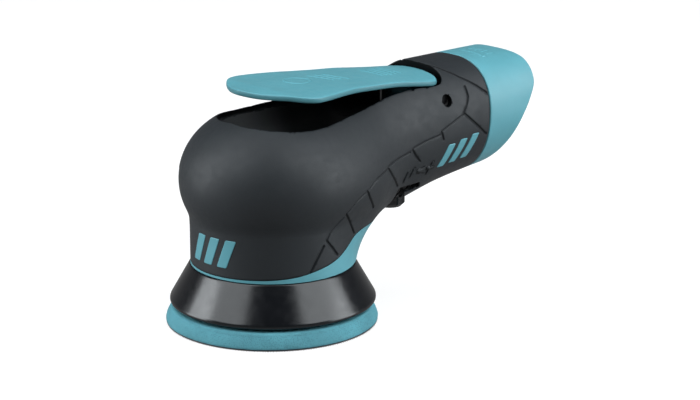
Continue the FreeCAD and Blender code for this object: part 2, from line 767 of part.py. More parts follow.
def inlet_seal_ring():
    """O-ring between the inlet collar and the housing."""
    return o_ring(INLET_GROOVE_R + 0.05, INLET_GROOVE_R + 1.05, V(HOUSING_REAR + 0.5, 0, AIR_Z), X_AXIS)


def inlet_screen():
    """Perforated disc that keeps grit out of the valve."""
    screen = rod_x(INLET_THROAT_R, SCREEN_X[0], SCREEN_X[1], 0, AIR_Z)
    for circle, count in SCREEN_HOLES:
        for k in range(count):
            turn = 2 * math.pi * k / count
            y = circle * math.cos(turn)
            z = AIR_Z + circle * math.sin(turn)
            screen = screen.cut(rod_x(SCREEN_HOLE_R, SCREEN_X[0] - 1, SCREEN_X[1] + 1, y, z))
    return screen


def speed_regulator():
    """Turning speed valve: knob outside, hollow barrel with a window inside."""
    at = V(KNOB_X, 0, 0)
    low, high = KNOB_Z
    knob = turned(((0, low), (KNOB_R - KNOB_TAPER, low), (KNOB_R, low + KNOB_TAPER), (KNOB_R, high),
                   (0, high)), at)
    for k in range(KNOB_FLUTES):
        flute = rod(KNOB_FLUTE_R, low - 1, high + 1, V(KNOB_R + KNOB_FLUTE_OUT, 0, 0))
        flute.rotate(ORIGIN, Z_AXIS, 360.0 / KNOB_FLUTES * k)
        flute.translate(at)
        knob = knob.cut(flute)
    neck = rod(KNOB_NECK_R, high, FLANGE_Z[0], at)
    flange_top = FLANGE_Z[1] - VALVE_CLEAR
    flange = rod(FLANGE_R - VALVE_CLEAR, FLANGE_Z[0], flange_top, at)
    barrel = rod(VALVE_R, flange_top, AIR_Z - AIR_R + 0.2, at)
    valve = fused([knob, neck, flange, barrel])
    groove = (VALVE_SEAL_Z - VALVE_SEAL_GROOVE / 2, VALVE_SEAL_Z + VALVE_SEAL_GROOVE / 2)
    valve = valve.cut(tube(VALVE_R + 1, VALVE_R - 1, groove[0], groove[1], at))
    valve = valve.cut(rod(VALVE_BORE_R, FLANGE_Z[1] + 2, AIR_Z, at))
    return valve.cut(rod_x(WINDOW_R, KNOB_X - 10, KNOB_X, 0, FEED_Z))


def regulator_seal_ring():
    """O-ring around the speed valve's barrel."""
    return o_ring(VALVE_R - 1, VALVE_R - 0.04, V(KNOB_X, 0, VALVE_SEAL_Z), Z_AXIS)


def regulator_retaining_ring():
    """Internal snap ring under the speed valve's flange."""
    at = V(KNOB_X, 0, 0)
    low = FLANGE_Z[0] - RING_T - 0.05
    ring = tube(FLANGE_R + 0.8, KNOB_NECK_R + 0.4, low, low + RING_T, at)
    gap = block((KNOB_X + 2, -1.6, low - 1), (KNOB_X + 12, 1.6, low + 3))
    return ring.cut(gap)


# ---------------------------------------------------------------- air motor
def ring_with_groove(outer, inner, low, height, track_r, ball_r, rows, at=ORIGIN):
    """Bearing ring with ball grooves a little larger than the balls."""
    ring = tube(outer, inner, low, low + height, at)
    for row in rows:
        ring = ring.cut(Part.makeTorus(track_r, ball_r + 0.06, at + V(0, 0, row), Z_AXIS))
    return ring


def ball_rows(track_r, ball_r, count, rows, at=ORIGIN):
    """Rows of bearing balls."""
    balls = []
    for row in rows:
        for k in range(count):
            turn = 2 * math.pi * k / count
            centre = at + V(track_r * math.cos(turn), track_r * math.sin(turn), row)
            balls.append(Part.makeSphere(ball_r, centre))
    return group(balls)


def motor_rings(low):
    """Outer ring, inner ring and balls of one motor bearing."""
    bore, inner, outer, housing_r = MOTOR_RING_R
    rows = (low + MOTOR_RING_H / 2,)
    track = (inner + outer) / 2
    return (ring_with_groove(housing_r, outer, low, MOTOR_RING_H, track, MOTOR_BALL_R, rows),
            ring_with_groove(inner, bore, low, MOTOR_RING_H, track, MOTOR_BALL_R, rows),
            ball_rows(track, MOTOR_BALL_R, MOTOR_BALLS, rows))


def spindle_rings():
    """Outer ring, inner ring and balls of the double-row spindle bearing."""
    bore, inner, outer, cup = SPINDLE_RING_R
    height = BEARING_Z[1] - BEARING_Z[0]
    rows = (BEARING_Z[0] + height * 0.27, BEARING_Z[0] + height * 0.73)
    track = (inner + outer) / 2
    return (ring_with_groove(cup, outer, BEARING_Z[0], height, track, SPINDLE_BALL_R, rows, CRANK),
            ring_with_groove(inner, bore, BEARING_Z[0], height, track, SPINDLE_BALL_R, rows, CRANK),
            ball_rows(track, SPINDLE_BALL_R, SPINDLE_BALLS, rows, CRANK))


def bore_centre():
    """Centre of the cylinder bore, set off from the motor axis."""
    return V(BORE_OFFSET * math.cos(BORE_ANGLE), BORE_OFFSET * math.sin(BORE_ANGLE), 0)


def dowel_at():
    """Where the dowel crosses the thick side of the cylinder wall."""
    return V(-DOWEL_CIRCLE * math.cos(BORE_ANGLE), -DOWEL_CIRCLE * math.sin(BORE_ANGLE), 0)


def motor_cylinder():
    """Cylinder liner with an offset bore, feed port, exhaust slots and outer gallery."""
    low = LOWER_PLATE[1]
    high = UPPER_PLATE[0]
    liner = rod(CYLINDER_R, low, high).cut(rod(BORE_R, low, high, bore_centre()))
    gallery = tube(CYLINDER_R + 1, CYLINDER_R - GALLERY_DEPTH, GALLERY_Z[0], GALLERY_Z[1])
    gallery = gallery.cut(block((0, -GALLERY_STOP, 0), (FAR, GALLERY_STOP, FAR)))
    liner = liner.cut(gallery)
    liner = liner.cut(rod_x(FEED_R, 0, FAR, 0, FEED_Z))
    half = EXHAUST_SLOT_W / 2
    for angle in EXHAUST_SLOTS:
        slot = block((0, -half, GALLERY_Z[0] + 1), (FAR, half, GALLERY_Z[1] - 1))
        slot.rotate(ORIGIN, Z_AXIS, angle)
        liner = liner.cut(slot)
    return liner.cut(rod(DOWEL_R, low, high, dowel_at()))


def lower_end_plate():
    """Lower end plate: bearing seat, shield seat and dowel hole."""
    low, high = LOWER_PLATE
    plate = rod(PLATE_R, low, high).cut(rod(MOTOR_RING_R[3], low, LOWER_RING_Z + MOTOR_RING_H))
    plate = plate.cut(rod(PLATE_HOLE_R, low, high))
    return plate.cut(rod(DOWEL_R, high - DOWEL_DEPTH, high, dowel_at()))


def upper_end_plate():
    """Upper end plate: bearing seat, seal groove and dowel hole."""
    low, high = UPPER_PLATE
    plate = rod(PLATE_R, low, high).cut(rod(MOTOR_RING_R[3], UPPER_RING_Z, high))
    plate = plate.cut(rod(PLATE_HOLE_R, low, high))
    plate = plate.cut(tube(SEAL_R + 1, SEAL_R - 1, high - SEAL_GROOVE, high))
    return plate.cut(rod(DOWEL_R, low, low + DOWEL_DEPTH, dowel_at()))


def motor_seal_ring():
    """O-ring between the upper end plate and the housing."""
    return o_ring(SEAL_R - 0.78, SEAL_R + 0.78, V(0, 0, UPPER_PLATE[1] - SEAL_GROOVE / 2), Z_AXIS)


def cylinder_dowel_pin():
    """Pin that lines the cylinder up with both end plates."""
    return rod(DOWEL_R, LOWER_PLATE[1] - DOWEL_DEPTH, UPPER_PLATE[0] + DOWEL_DEPTH, dowel_at())


def lower_dust_shield():
    """Thin washer that keeps dust out of the lower motor bearing."""
    return tube(MOTOR_RING_R[3], SHIELD_HOLE_R, LOWER_PLATE[0] + 0.1, LOWER_RING_Z)


def rotor():
    """Slotted rotor, keyed to the shaft."""
    low = LOWER_PLATE[1] + ROTOR_GAP
    high = UPPER_PLATE[0] - ROTOR_GAP
    body = tube(ROTOR_R, SHAFT_R, low, high)
    for k in range(VANES):
        half = VANE_T / 2 + VANE_CLEAR
        slot = block((SLOT_BOTTOM_R, -half, low - 1), (ROTOR_R + 5, half, high + 1))
        slot.rotate(ORIGIN, Z_AXIS, VANE_START + 360.0 / VANES * k)
        body = body.cut(slot)
    return body.cut(rotor_key())


def rotor_key():
    """Square key between shaft and rotor."""
    half = KEY_W / 2
    return block((SHAFT_R - half, -half, KEY_Z[0]), (SHAFT_R + half, half, KEY_Z[1]))


def rotor_vane(k):
    """Composite vane, retracted in its slot as when the air is off."""
    low = LOWER_PLATE[1] + ROTOR_GAP + 0.05
    high = UPPER_PLATE[0] - ROTOR_GAP - 0.05
    vane = block((VANE_TIP_R - VANE_DEPTH, -VANE_T / 2, low), (VANE_TIP_R, VANE_T / 2, high))
    vane.rotate(ORIGIN, Z_AXIS, VANE_START + 360.0 / VANES * k)
    return vane


def shaft_balancer():
    """Motor shaft with its eccentric bearing cup and counterweight, one machined piece."""
    cup = rod(CUP_R, CUP_MOUTH_Z, CUP_ROOF_Z[1], CRANK)
    hub = rod(MOTOR_RING_R[1] - 0.3, CUP_ROOF_Z[1] - 0.5, LOWER_RING_Z)
    shaft = rod(SHAFT_R, LOWER_RING_Z - 0.5, SHAFT_TOP)
    parts = [cup, hub, shaft]
    away = CRANK_ANGLE + math.pi
    for radius, low, high in WEIGHT_STEPS:
        start = away - WEIGHT_SPAN / 2
        sector = Part.makeCylinder(radius, high - low, V(0, 0, low), Z_AXIS, math.degrees(WEIGHT_SPAN))
        sector.rotate(ORIGIN, Z_AXIS, math.degrees(start))
        parts.append(sector)
    shape = fused(parts)
    shape = shape.cut(rod(SPINDLE_RING_R[3], CUP_MOUTH_Z - 1, BEARING_Z[1], CRANK))
    shape = shape.cut(rod(SPINDLE_RING_R[3] - CUP_LIP, BEARING_Z[1] - 1, CUP_ROOF_Z[0], CRANK))
    shape = shape.cut(rod(SPINDLE_RING_R[3] + SNAP_DEPTH, SNAP_Z[0], SNAP_Z[1], CRANK))
    shape = shape.cut(tube(SHAFT_R + 1, SHAFT_R - 0.6, CLIP_Z[0], CLIP_Z[1]))
    return shape.cut(rotor_key()).removeSplitter()


def shaft_retaining_ring():
    """Clip that holds the upper bearing's inner ring on the shaft."""
    ring = tube(SHAFT_R + 1.6, SHAFT_R - 0.6, CLIP_Z[0], CLIP_Z[1])
    return ring.cut(block((2.0, -2.0, CLIP_Z[0] - 1), (12.0, 2.0, CLIP_Z[1] + 1)))


def spindle_bearing_retaining_ring():
    """Internal snap ring in the cup's mouth."""
    ring = tube(SPINDLE_RING_R[3] + SNAP_DEPTH, SPINDLE_RING_R[3] - CUP_LIP, SNAP_Z[0], SNAP_Z[1], CRANK)
    gap = block((6, -3.5, SNAP_Z[0] - 1), (20, 3.5, SNAP_Z[1] + 1))
    gap.translate(CRANK)
    return ring.cut(gap)


# ---------------------------------------------------------------- spindle and pad
def spindle():
    """Spindle: wrench flats at the flange, bearing journal, threaded stud hole and screw hole."""
    flange = rod(SPINDLE_FLANGE_R, STUD_FLANGE_TOP, BEARING_Z[0], CRANK)
    flats = block((-FAR, -SPINDLE_FLATS / 2, 0), (FAR, SPINDLE_FLATS / 2, FAR))
    flats.translate(CRANK)
    flange = flange.common(flats)
    journal = rod(SPINDLE_R, BEARING_Z[0] - 0.5, BEARING_Z[1] - 0.2, CRANK)
    shape = flange.fuse(journal)
    shape = shape.cut(rod(STUD_R, STUD_FLANGE_TOP - 1, STUD_TOP + 0.5, CRANK))
    return shape.cut(rod(SCREW_R, STUD_TOP, BEARING_Z[1] + 1, CRANK)).removeSplitter()


def spindle_washer():
    """Washer that clamps the bearing's inner ring."""
    return tube(SPINDLE_RING_R[1] - 0.6, SCREW_R, BEARING_Z[1], BEARING_Z[1] + WASHER_T, CRANK)


def spindle_screw():
    """Socket screw on top of the spindle."""
    low = BEARING_Z[1] + WASHER_T
    radius, height = SCREW_HEAD
    screw = rod(SCREW_R, STUD_TOP + 0.7, low, CRANK).fuse(rod(radius, low, low + height, CRANK))
    socket = Part.Face(Part.makePolygon(hexagon(SOCKET_R, low + 1.0))).extrude(V(0, 0, height))
    socket.translate(CRANK)
    return screw.cut(socket).removeSplitter()


def hexagon(radius, z):
    """Closed hexagon points."""
    corners = [V(radius * math.cos(math.pi / 3 * k), radius * math.sin(math.pi / 3 * k), z) for k in range(6)]
    return corners + [corners[0]]


def pad_stud():
    """Threaded stud with the flange that the rivets hold."""
    flange = rod(STUD_FLANGE_R, BACKING_TOP, STUD_FLANGE_TOP, CRANK)
    stud = flange.fuse(rod(STUD_R, BACKING_TOP, STUD_TOP, CRANK))
    for spot in rivet_spots():
        stud = stud.cut(rod(RIVET_R, BACKING_TOP - 1, STUD_FLANGE_TOP + 1, spot))
        stud = stud.cut(rod(RIVET_HEAD_R, STUD_FLANGE_TOP - RIVET_HEAD_T, STUD_FLANGE_TOP + 1, spot))
    return stud.removeSplitter()


def rivet_spots():
    """Centres of the rivets around the stud."""
    spots = []
    for k in range(RIVETS):
        turn = 2 * math.pi * (k + 0.5) / RIVETS
        spots.append(CRANK + V(RIVET_CIRCLE * math.cos(turn), RIVET_CIRCLE * math.sin(turn), 0))
    return spots


def pad_rivets():
    """Flush rivets through the stud flange and the backing plate."""
    rivets = []
    for spot in rivet_spots():
        shank = rod(RIVET_R, FOAM_TOP - 0.8, STUD_FLANGE_TOP - RIVET_HEAD_T, spot)
        top = rod(RIVET_HEAD_R, STUD_FLANGE_TOP - RIVET_HEAD_T, STUD_FLANGE_TOP - 0.05, spot)
        foot = rod(RIVET_HEAD_R, FOAM_TOP - 0.8, FOAM_TOP, spot)
        rivets.append(fused([shank, top, foot]))
    return group(rivets)


def pad_backing_plate():
    """Stiff plate that the foam is moulded to."""
    plate = rod(BACKING_R, FOAM_TOP, BACKING_TOP, CRANK)
    for spot in rivet_spots():
        plate = plate.cut(rod(RIVET_R, FOAM_TOP - 1, BACKING_TOP + 1, spot))
    return plate


def pad_foam():
    """Foam disc with a tapered edge and a pocket for the rivet heads."""
    foam = turned(((0, HOOK_TOP), (PAD_R - 0.1, HOOK_TOP), (PAD_R, PAD_EDGE_Z), (PAD_TOP_R, FOAM_TOP - 0.5),
                   (PAD_TOP_R - 0.6, FOAM_TOP), (0, FOAM_TOP)), CRANK)
    return foam.cut(rod(RIVET_CIRCLE + 3.0, FOAM_TOP - 1.0, FOAM_TOP + 1, CRANK))


def pad_hook_face():
    """Hook layer that abrasive discs grip to."""
    return rod(PAD_R - 0.2, 0.0, HOOK_TOP, CRANK)


UPPER_OUTER, UPPER_INNER, UPPER_BALLS = motor_rings(UPPER_RING_Z)
LOWER_OUTER, LOWER_INNER, LOWER_BALLS = motor_rings(LOWER_RING_Z)
SPINDLE_OUTER, SPINDLE_INNER, SPINDLE_BALL_ROWS = spindle_rings()

PARTS = {
    "housing": housing(),
    "grip_overmold": grip_overmold(),
    "exhaust_cap": exhaust_cap(),
    "exhaust_cap_screws": exhaust_cap_screws(),
    "muffler_felt": muffler_felt(),
    "shroud": shroud(),
    "lock_ring": lock_ring(),
    "throttle_lever": throttle_lever(),
    "lever_pin": lever_pin(),
    "valve_stem": valve_stem(),
    "stem_bushing": stem_bushing(),
    "stem_seal_ring": stem_seal_ring(),
    "tip_valve": tip_valve(),
    "tip_valve_seal": tip_valve_seal(),
    "valve_seat": valve_seat(),
    "valve_spring": valve_spring(),
    "inlet_bushing": inlet_bushing(),
    "inlet_seal_ring": inlet_seal_ring(),
    "inlet_screen": inlet_screen(),
    "speed_regulator": speed_regulator(),
    "regulator_seal_ring": regulator_seal_ring(),
    "regulator_retaining_ring": regulator_retaining_ring(),
    "motor_cylinder": motor_cylinder(),
    "lower_end_plate": lower_end_plate(),
    "upper_end_plate": upper_end_plate(),
    "motor_seal_ring": motor_seal_ring(),
    "cylinder_dowel_pin": cylinder_dowel_pin(),
    "lower_dust_shield": lower_dust_shield(),
    "upper_bearing_outer_ring": UPPER_OUTER,
    "upper_bearing_inner_ring": UPPER_INNER,
    "upper_bearing_balls": UPPER_BALLS,
    "lower_bearing_outer_ring": LOWER_OUTER,
    "lower_bearing_inner_ring": LOWER_INNER,
    "lower_bearing_balls": LOWER_BALLS,
    "rotor": rotor(),
    "rotor_key": rotor_key(),
    "shaft_balancer": shaft_balancer(),
    "shaft_retaining_ring": shaft_retaining_ring(),
    "spindle_bearing_outer_ring": SPINDLE_OUTER,
    "spindle_bearing_inner_ring": SPINDLE_INNER,
    "spindle_bearing_balls": SPINDLE_BALL_ROWS,
    "spindle_bearing_retaining_ring": spindle_bearing_retaining_ring(),
    "spindle": spindle(),
    "spindle_washer": spindle_washer(),
    "spindle_screw": spindle_screw(),
    "pad_stud": pad_stud(),
    "pad_rivets": pad_rivets(),
    "pad_backing_plate": pad_backing_plate(),
    "pad_foam": pad_foam(),
    "pad_hook_face": pad_hook_face(),
}
for number in range(VANES):
    PARTS["rotor_vane_" + str(number + 1)] = rotor_vane(number)

for name, shape in PARTS.items():
    print(name, "valid", shape.isValid(), "solids", len(shape.Solids), "mm3", round(shape.Volume, 1))
    shape.exportStep("parts/" + name + ".step")
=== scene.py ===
import json
import math

import bmesh
import bpy
import numpy as np
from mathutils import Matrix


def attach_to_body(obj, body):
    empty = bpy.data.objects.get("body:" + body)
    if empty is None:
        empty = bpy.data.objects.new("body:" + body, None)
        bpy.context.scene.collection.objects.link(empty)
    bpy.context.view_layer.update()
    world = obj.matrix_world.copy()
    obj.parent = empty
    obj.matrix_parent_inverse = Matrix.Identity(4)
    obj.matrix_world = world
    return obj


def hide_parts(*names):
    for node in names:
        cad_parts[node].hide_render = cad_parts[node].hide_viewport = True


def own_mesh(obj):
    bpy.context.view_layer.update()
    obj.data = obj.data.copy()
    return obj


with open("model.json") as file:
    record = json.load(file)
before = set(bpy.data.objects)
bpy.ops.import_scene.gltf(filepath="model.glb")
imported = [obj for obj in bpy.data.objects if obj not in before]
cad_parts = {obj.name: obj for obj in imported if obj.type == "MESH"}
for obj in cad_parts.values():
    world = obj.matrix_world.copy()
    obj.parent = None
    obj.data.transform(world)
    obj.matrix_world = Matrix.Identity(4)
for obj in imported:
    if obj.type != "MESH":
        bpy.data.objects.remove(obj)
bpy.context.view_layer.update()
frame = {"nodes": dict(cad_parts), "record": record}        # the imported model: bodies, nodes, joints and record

import openvdb
from mathutils import Vector

# Looks for the pneumatic palm sander. Shapes are worked out in millimetres as signed
# distance fields in the frame's axes, meshed, and scaled to metres at the end.

MM = 0.001
RNG = np.random.default_rng(7)

# ------------------------ shared sizes, as in the CAD model
HEAD_R = 38.5
HEAD_Z = 60.2
HEAD_RISE = 30.0
HEAD_DROP = 31.5
WAIST_R = 34.5
WAIST_BLEND = 1.5
HANDLE_X = (0.0, 30.0, 60.0, 85.0, 105.0, 130.0)
HANDLE_TOP = (82.2, 91.2, 96.8, 98.0, 98.0, 97.5)
HANDLE_BOTTOM = (40.6, 32.0, 38.2, 43.9, 46.5, 49.0)
HANDLE_MID = (65.7, 62.9, 71.0, 73.5, 74.5, 75.0)
HANDLE_HALF_WIDTH = (22.3, 29.5, 25.0, 25.0, 24.5, 23.5)
HANDLE_TOP_POWER = (2.4, 2.4, 2.4, 2.4, 2.5, 3.0)
HANDLE_UNDER_POWER = 2.1
HANDLE_NOSE = 24.0
HEAD_HANDLE_BLEND = 19.7
SKIN = 2.2
GRIP_REAR = 103.6
CAP_FRONT = 103.8
CAP_WALL = 2.4
GRIP_EDGE = ((-40.0, 25.6), (-30.0, 26.0), (-15.0, 27.0), (-2.0, 29.4), (7.0, 31.8),
             (14.0, 35.2), (19.0, 38.3), (24.0, 39.5), (34.0, 39.5), (44.0, 39.0))
CAP_REAR = ((124.0, 104.0), (133.0, 94.0), (133.4, 86.0), (130.5, 78.0), (125.9, 70.0),
            (120.4, 60.0), (115.5, 52.0), (110.7, 46.0), (106.1, 40.0))
RECESS_RIM = ((-22.5, 0.0), (-22.3, 6.0), (-20.4, 12.0), (-16.2, 17.6), (-9.0, 22.4),
              (0.0, 24.8), (9.0, 24.6), (22.0, 21.9), (36.0, 19.6), (50.0, 19.1),
              (63.0, 18.9), (74.0, 18.6), (79.7, 16.8), (81.4, 12.2), (81.0, 5.0))
RECESS_REAR_X = 80.6
RECESS_RIM_Z = 86.0
RECESS_FLOOR_Z = 72.5
RECESS_STEP_X = 47.0
RECESS_STEP_Z = 79.0
RECESS_DRAFT = 5.0
LINING = 1.6
PIN_X = 78.5
PIN_Z = 84.7
PIN_HOLE_R = 2.5
HUB_ROOM_R = 6.4
HUB_ROOM_Y = 15.0
KNOB_X = 66.8
KNOB_HOLE_R = 8.4
STEM_X = 62.3
STEM_BUSH_R = 3.4
AIR_Z = 67.0
INLET_R = 5.7
INLET_COLLAR_R = 10.5
INLET_MOUTH_X = 127.0
CAP_SCREWS = ((15.5, 84.0), (14.0, 61.5))
LEVER_X = (-19.0, -14.0, -8.0, 0.0, 10.0, 20.0, 30.0, 40.0, 50.0, 60.0, 70.0, 80.0)
LEVER_EDGE_Z = (102.1, 100.8, 99.9, 99.3, 99.0, 98.6, 97.9, 97.1, 96.4, 95.2, 93.9, 92.8)
LEVER_T = 2.6
LEVER_HALF = 28.0
LEVER_PLAN = ((-18.1, 0.0), (-17.4, 3.3), (-16.1, 6.6), (-14.1, 10.6), (-11.1, 15.4), (-7.1, 20.4),
              (-2.5, 24.7), (2.5, 26.9), (8.0, 26.5), (14.0, 25.2), (20.0, 23.6), (30.0, 21.2),
              (41.0, 20.0), (50.0, 19.3), (60.0, 18.5), (69.0, 18.0), (75.3, 16.4), (78.3, 12.4),
              (79.2, 6.0))
LEVER_REAR_X = 79.3
CRANK_ANGLE = math.radians(219.0)
ORBIT = 2.5
CRANK = (ORBIT * math.cos(CRANK_ANGLE), ORBIT * math.sin(CRANK_ANGLE))

# ------------------------ where the looks leave the CAD sizes
STEP_LENGTH = 5.0            # ramp between the recess's deep front and its shallow rear
STEP_LEAD = 1.4              # how many ramp lengths the ramp starts ahead of the step
RIM_TIGHTER_X = (-18.0, -6.0, 4.0, 14.0, 30.0, 40.0, 50.0, 58.0, 66.0, 72.0, 79.0)
RIM_TIGHTER = (1.7, 0.2, 0.1, 0.0, 0.3, 1.0, 1.7, 1.6, 1.0, 0.2, -0.9)
WALL_LEAN = 0.94             # share of the flat distance that is true distance on the drafted wall
DRAFT_LIMIT = 1.3
FLOOR_ROUND = 5.0
HUB_ROOM_ROUND = (1.0, 0.6)
LEVER_CROWN = 1.1
LEVER_DROP = 0.5
FRONT_DROOP = 1.6
DROOP_X = -6.0
DROOP_LENGTH = 11.0
REAR_CROWN = 1.7
REAR_CROWN_HALF = 18.0
REAR_CROWN_X = 50.0
REAR_CROWN_LENGTH = 25.0
LEVER_REAR_GROWTH = 0.8
REAR_GROWTH_SPAN = (55.0, 15.0)     # where it starts, and the length over which it comes in
LEVER_END_GROWTH = 1.4
END_GROWTH_SPAN = (66.0, 12.0)


# ------------------------ curves and distances
def along(stations, values):
    """Monotone cubic interpolation through (station, value) pairs, held at both ends."""
    xs = np.array(stations, float)
    ys = np.array(values, float)
    spans = np.diff(xs)
    rates = np.diff(ys) / spans
    slopes = np.empty(len(xs))
    slopes[0] = rates[0]
    slopes[-1] = rates[-1]
    product = rates[:-1] * rates[1:]
    total = rates[:-1] + rates[1:]
    total[total == 0] = 1.0
    slopes[1:-1] = np.where(product > 0, 2 * product / total, 0.0)

    def at(x):
        x = np.clip(x, xs[0], xs[-1])
        i = np.clip(np.searchsorted(xs, x, side="right") - 1, 0, len(spans) - 1)
        t = (x - xs[i]) / spans[i]
        rise = ys[i + 1] - ys[i]
        start = slopes[i] * spans[i]
        end = slopes[i + 1] * spans[i]
        return ys[i] + t * (start + t * (3 * rise - 2 * start - end + t * (start + end - 2 * rise)))

    return at


def soft_min(a, b, width):
    """Union with a rounded corner."""
    overlap = np.maximum(width - np.abs(a - b), 0.0) / width
    return np.minimum(a, b) - overlap * overlap * width / 4


def soft_max(a, b, width):
    """Intersection with a rounded corner."""
    return -soft_min(-a, -b, width)


def mirrored_outline(half, end_x):
    """Closed (x, y) outline from its +Y half and the X of its rear end, smoothed."""
    points = list(half) + [(end_x, 0.0)] + [(x, -y) for x, y in reversed(half[1:])]
    p = np.array(points)
    count = len(p)
    smooth = []
    for k in range(count):
        a, b, c, d = p[k - 1], p[k], p[(k + 1) % count], p[(k + 2) % count]
        for step in range(8):
            t = step / 8
            smooth.append(0.5 * (2 * b + (c - a) * t + (2 * a - 5 * b + 4 * c - d) * t * t
                                 + (3 * b - a - 3 * c + d) * t ** 3))
    return np.array(smooth)


def segment_distance(points, starts, ends):
    """Shortest distance from each point to any of the segments."""
    best = np.full(len(points), 1e9)
    for a, b in zip(starts, ends):
        d = b - a
        t = np.clip((points - a) @ d / max(d @ d, 1e-9), 0, 1)
        best = np.minimum(best, np.linalg.norm(points - (a + t[:, None] * d), axis=1))
    return best


class FlatField:
    """Signed distance to a closed flat outline, tabled on a grid once and looked up after."""

    STEP = 0.25
    MARGIN = 12.0

    def __init__(self, outline):
        self.low = outline.min(0) - self.MARGIN
        size = np.ceil((outline.max(0) + self.MARGIN - self.low) / self.STEP).astype(int) + 1
        u = self.low[0] + np.arange(size[0]) * self.STEP
        v = self.low[1] + np.arange(size[1]) * self.STEP
        grid = np.stack(np.meshgrid(u, v, indexing="ij"), -1).reshape(-1, 2)
        ends = np.roll(outline, -1, 0)
        distance = segment_distance(grid, outline, ends)
        inside = np.zeros(len(grid), bool)
        for a, b in zip(outline, ends):
            crosses = (a[1] > grid[:, 1]) != (b[1] > grid[:, 1])
            with np.errstate(divide="ignore", invalid="ignore"):
                at = a[0] + (grid[:, 1] - a[1]) / (b[1] - a[1]) * (b[0] - a[0])
            inside ^= crosses & (grid[:, 0] < at)
        self.table = np.where(inside, -distance, distance).reshape(size)

    def __call__(self, u, v):
        s = (u - self.low[0]) / self.STEP
        t = (v - self.low[1]) / self.STEP
        away = np.zeros_like(s)
        for value, count in ((s, self.table.shape[0]), (t, self.table.shape[1])):
            away = away + np.maximum(-value, 0) + np.maximum(value - (count - 1.001), 0)
        s = np.clip(s, 0, self.table.shape[0] - 1.001)
        t = np.clip(t, 0, self.table.shape[1] - 1.001)
        i = s.astype(int)
        j = t.astype(int)
        f = s - i
        g = t - j
        a = self.table[i, j] * (1 - g) + self.table[i, j + 1] * g
        b = self.table[i + 1, j] * (1 - g) + self.table[i + 1, j + 1] * g
        return a * (1 - f) + b * f + away * self.STEP


handle_top = along(HANDLE_X, HANDLE_TOP)
handle_bottom = along(HANDLE_X, HANDLE_BOTTOM)
handle_mid = along(HANDLE_X, HANDLE_MID)
handle_half_width = along(HANDLE_X, HANDLE_HALF_WIDTH)
handle_top_power = along(HANDLE_X, HANDLE_TOP_POWER)
grip_edge = along([x for x, z in GRIP_EDGE], [z for x, z in GRIP_EDGE])
cap_rear = along([z for x, z in reversed(CAP_REAR)], [x for x, z in reversed(CAP_REAR)])
lever_edge = along(LEVER_X, LEVER_EDGE_Z)
rim_tighter = along(RIM_TIGHTER_X, RIM_TIGHTER)
recess_plan = FlatField(mirrored_outline(RECESS_RIM, RECESS_REAR_X))
lever_plan = FlatField(mirrored_outline(LEVER_PLAN, LEVER_REAR_X))


# ------------------------ the grip's surface
def head_depth(x, y, z):
    """Signed distance to the domed head on its waist."""
    radius = np.hypot(x, y)
    rise = z - HEAD_Z
    scale = np.maximum(np.hypot(radius / HEAD_R, rise / HEAD_RISE), 1e-6)
    above = np.hypot(radius, rise) * (1 - 1 / scale)
    under = HEAD_R * np.sqrt(np.maximum(1 - (rise / HEAD_DROP) ** 2, 0.0))
    below = radius - soft_max(under, np.full_like(under, WAIST_R), WAIST_BLEND)
    return np.where(rise >= 0, above, below)


def handle_depth(x, y, z):
    """Signed distance to the handle's superellipse sections."""
    back = np.maximum(x, 0.0)
    nose = np.maximum(-x, 0.0)
    middle = handle_mid(back)
    rise = z - middle
    upper = rise > 0
    height = np.where(upper, handle_top(back) - middle, middle - handle_bottom(back))
    power = np.where(upper, handle_top_power(back), HANDLE_UNDER_POWER)
    terms = (np.abs(y) / handle_half_width(back)) ** power + (np.abs(rise) / height) ** power
    scale = np.maximum((terms + (nose / HANDLE_NOSE) ** power) ** (1 / power), 1e-6)
    return np.sqrt(y * y + rise * rise + nose * nose) * (1 - 1 / scale)


def grip_depth(x, y, z):
    """Signed distance to the whole outside: head and handle flow into each other."""
    return soft_min(head_depth(x, y, z), handle_depth(x, y, z), HEAD_HANDLE_BLEND)


def recess_void(x, y, z, grow=0.0):
    """Signed distance to the throttle recess, negative in the open space."""
    fall = np.clip((RECESS_RIM_Z - z) / (RECESS_RIM_Z - RECESS_FLOOR_Z), 0, DRAFT_LIMIT)
    inset = RECESS_DRAFT * fall
    wall = (recess_plan(x, y) + inset + rim_tighter(x)) * WALL_LEAN
    step = np.clip((x - RECESS_STEP_X) / STEP_LENGTH + STEP_LEAD, 0, 1)
    floor = RECESS_FLOOR_Z + (RECESS_STEP_Z - RECESS_FLOOR_Z) * step * step * (3 - 2 * step) - z
    edge_round, join_round = HUB_ROOM_ROUND
    hub = soft_max(np.hypot(x - PIN_X, z - PIN_Z) - HUB_ROOM_R, np.abs(y) - HUB_ROOM_Y, edge_round)
    return soft_min(soft_max(wall, floor, FLOOR_ROUND), hub, join_round) - grow


# ------------------------ meshing
COARSE = 4                   # fine cells along each side of a block
REACH = 1.25                 # how far round the surface blocks are worked out, in blocks
BATCH = 400000               # cells worked out at a time


def fine_values(depth, low, size, step):
    """Field values on a grid, exact near the surface and only signed elsewhere."""
    blocks = [-(-n // COARSE) for n in size]
    centres = [low[a] + (np.arange(blocks[a]) + 0.5) * COARSE * step for a in range(3)]
    cx, cy, cz = np.meshgrid(*centres, indexing="ij")
    rough = depth(cx.ravel(), cy.ravel(), cz.ravel()).reshape(blocks)
    reach = COARSE * step * REACH + step
    values = np.repeat(np.repeat(np.repeat(rough, COARSE, 0), COARSE, 1), COARSE, 2)
    values = values[:size[0], :size[1], :size[2]].astype(np.float32)
    near = np.argwhere(np.abs(values) < reach)
    for start in range(0, len(near), BATCH):
        i, j, k = near[start:start + BATCH].T
        values[i, j, k] = depth(low[0] + i * step, low[1] + j * step, low[2] + k * step)
    return values


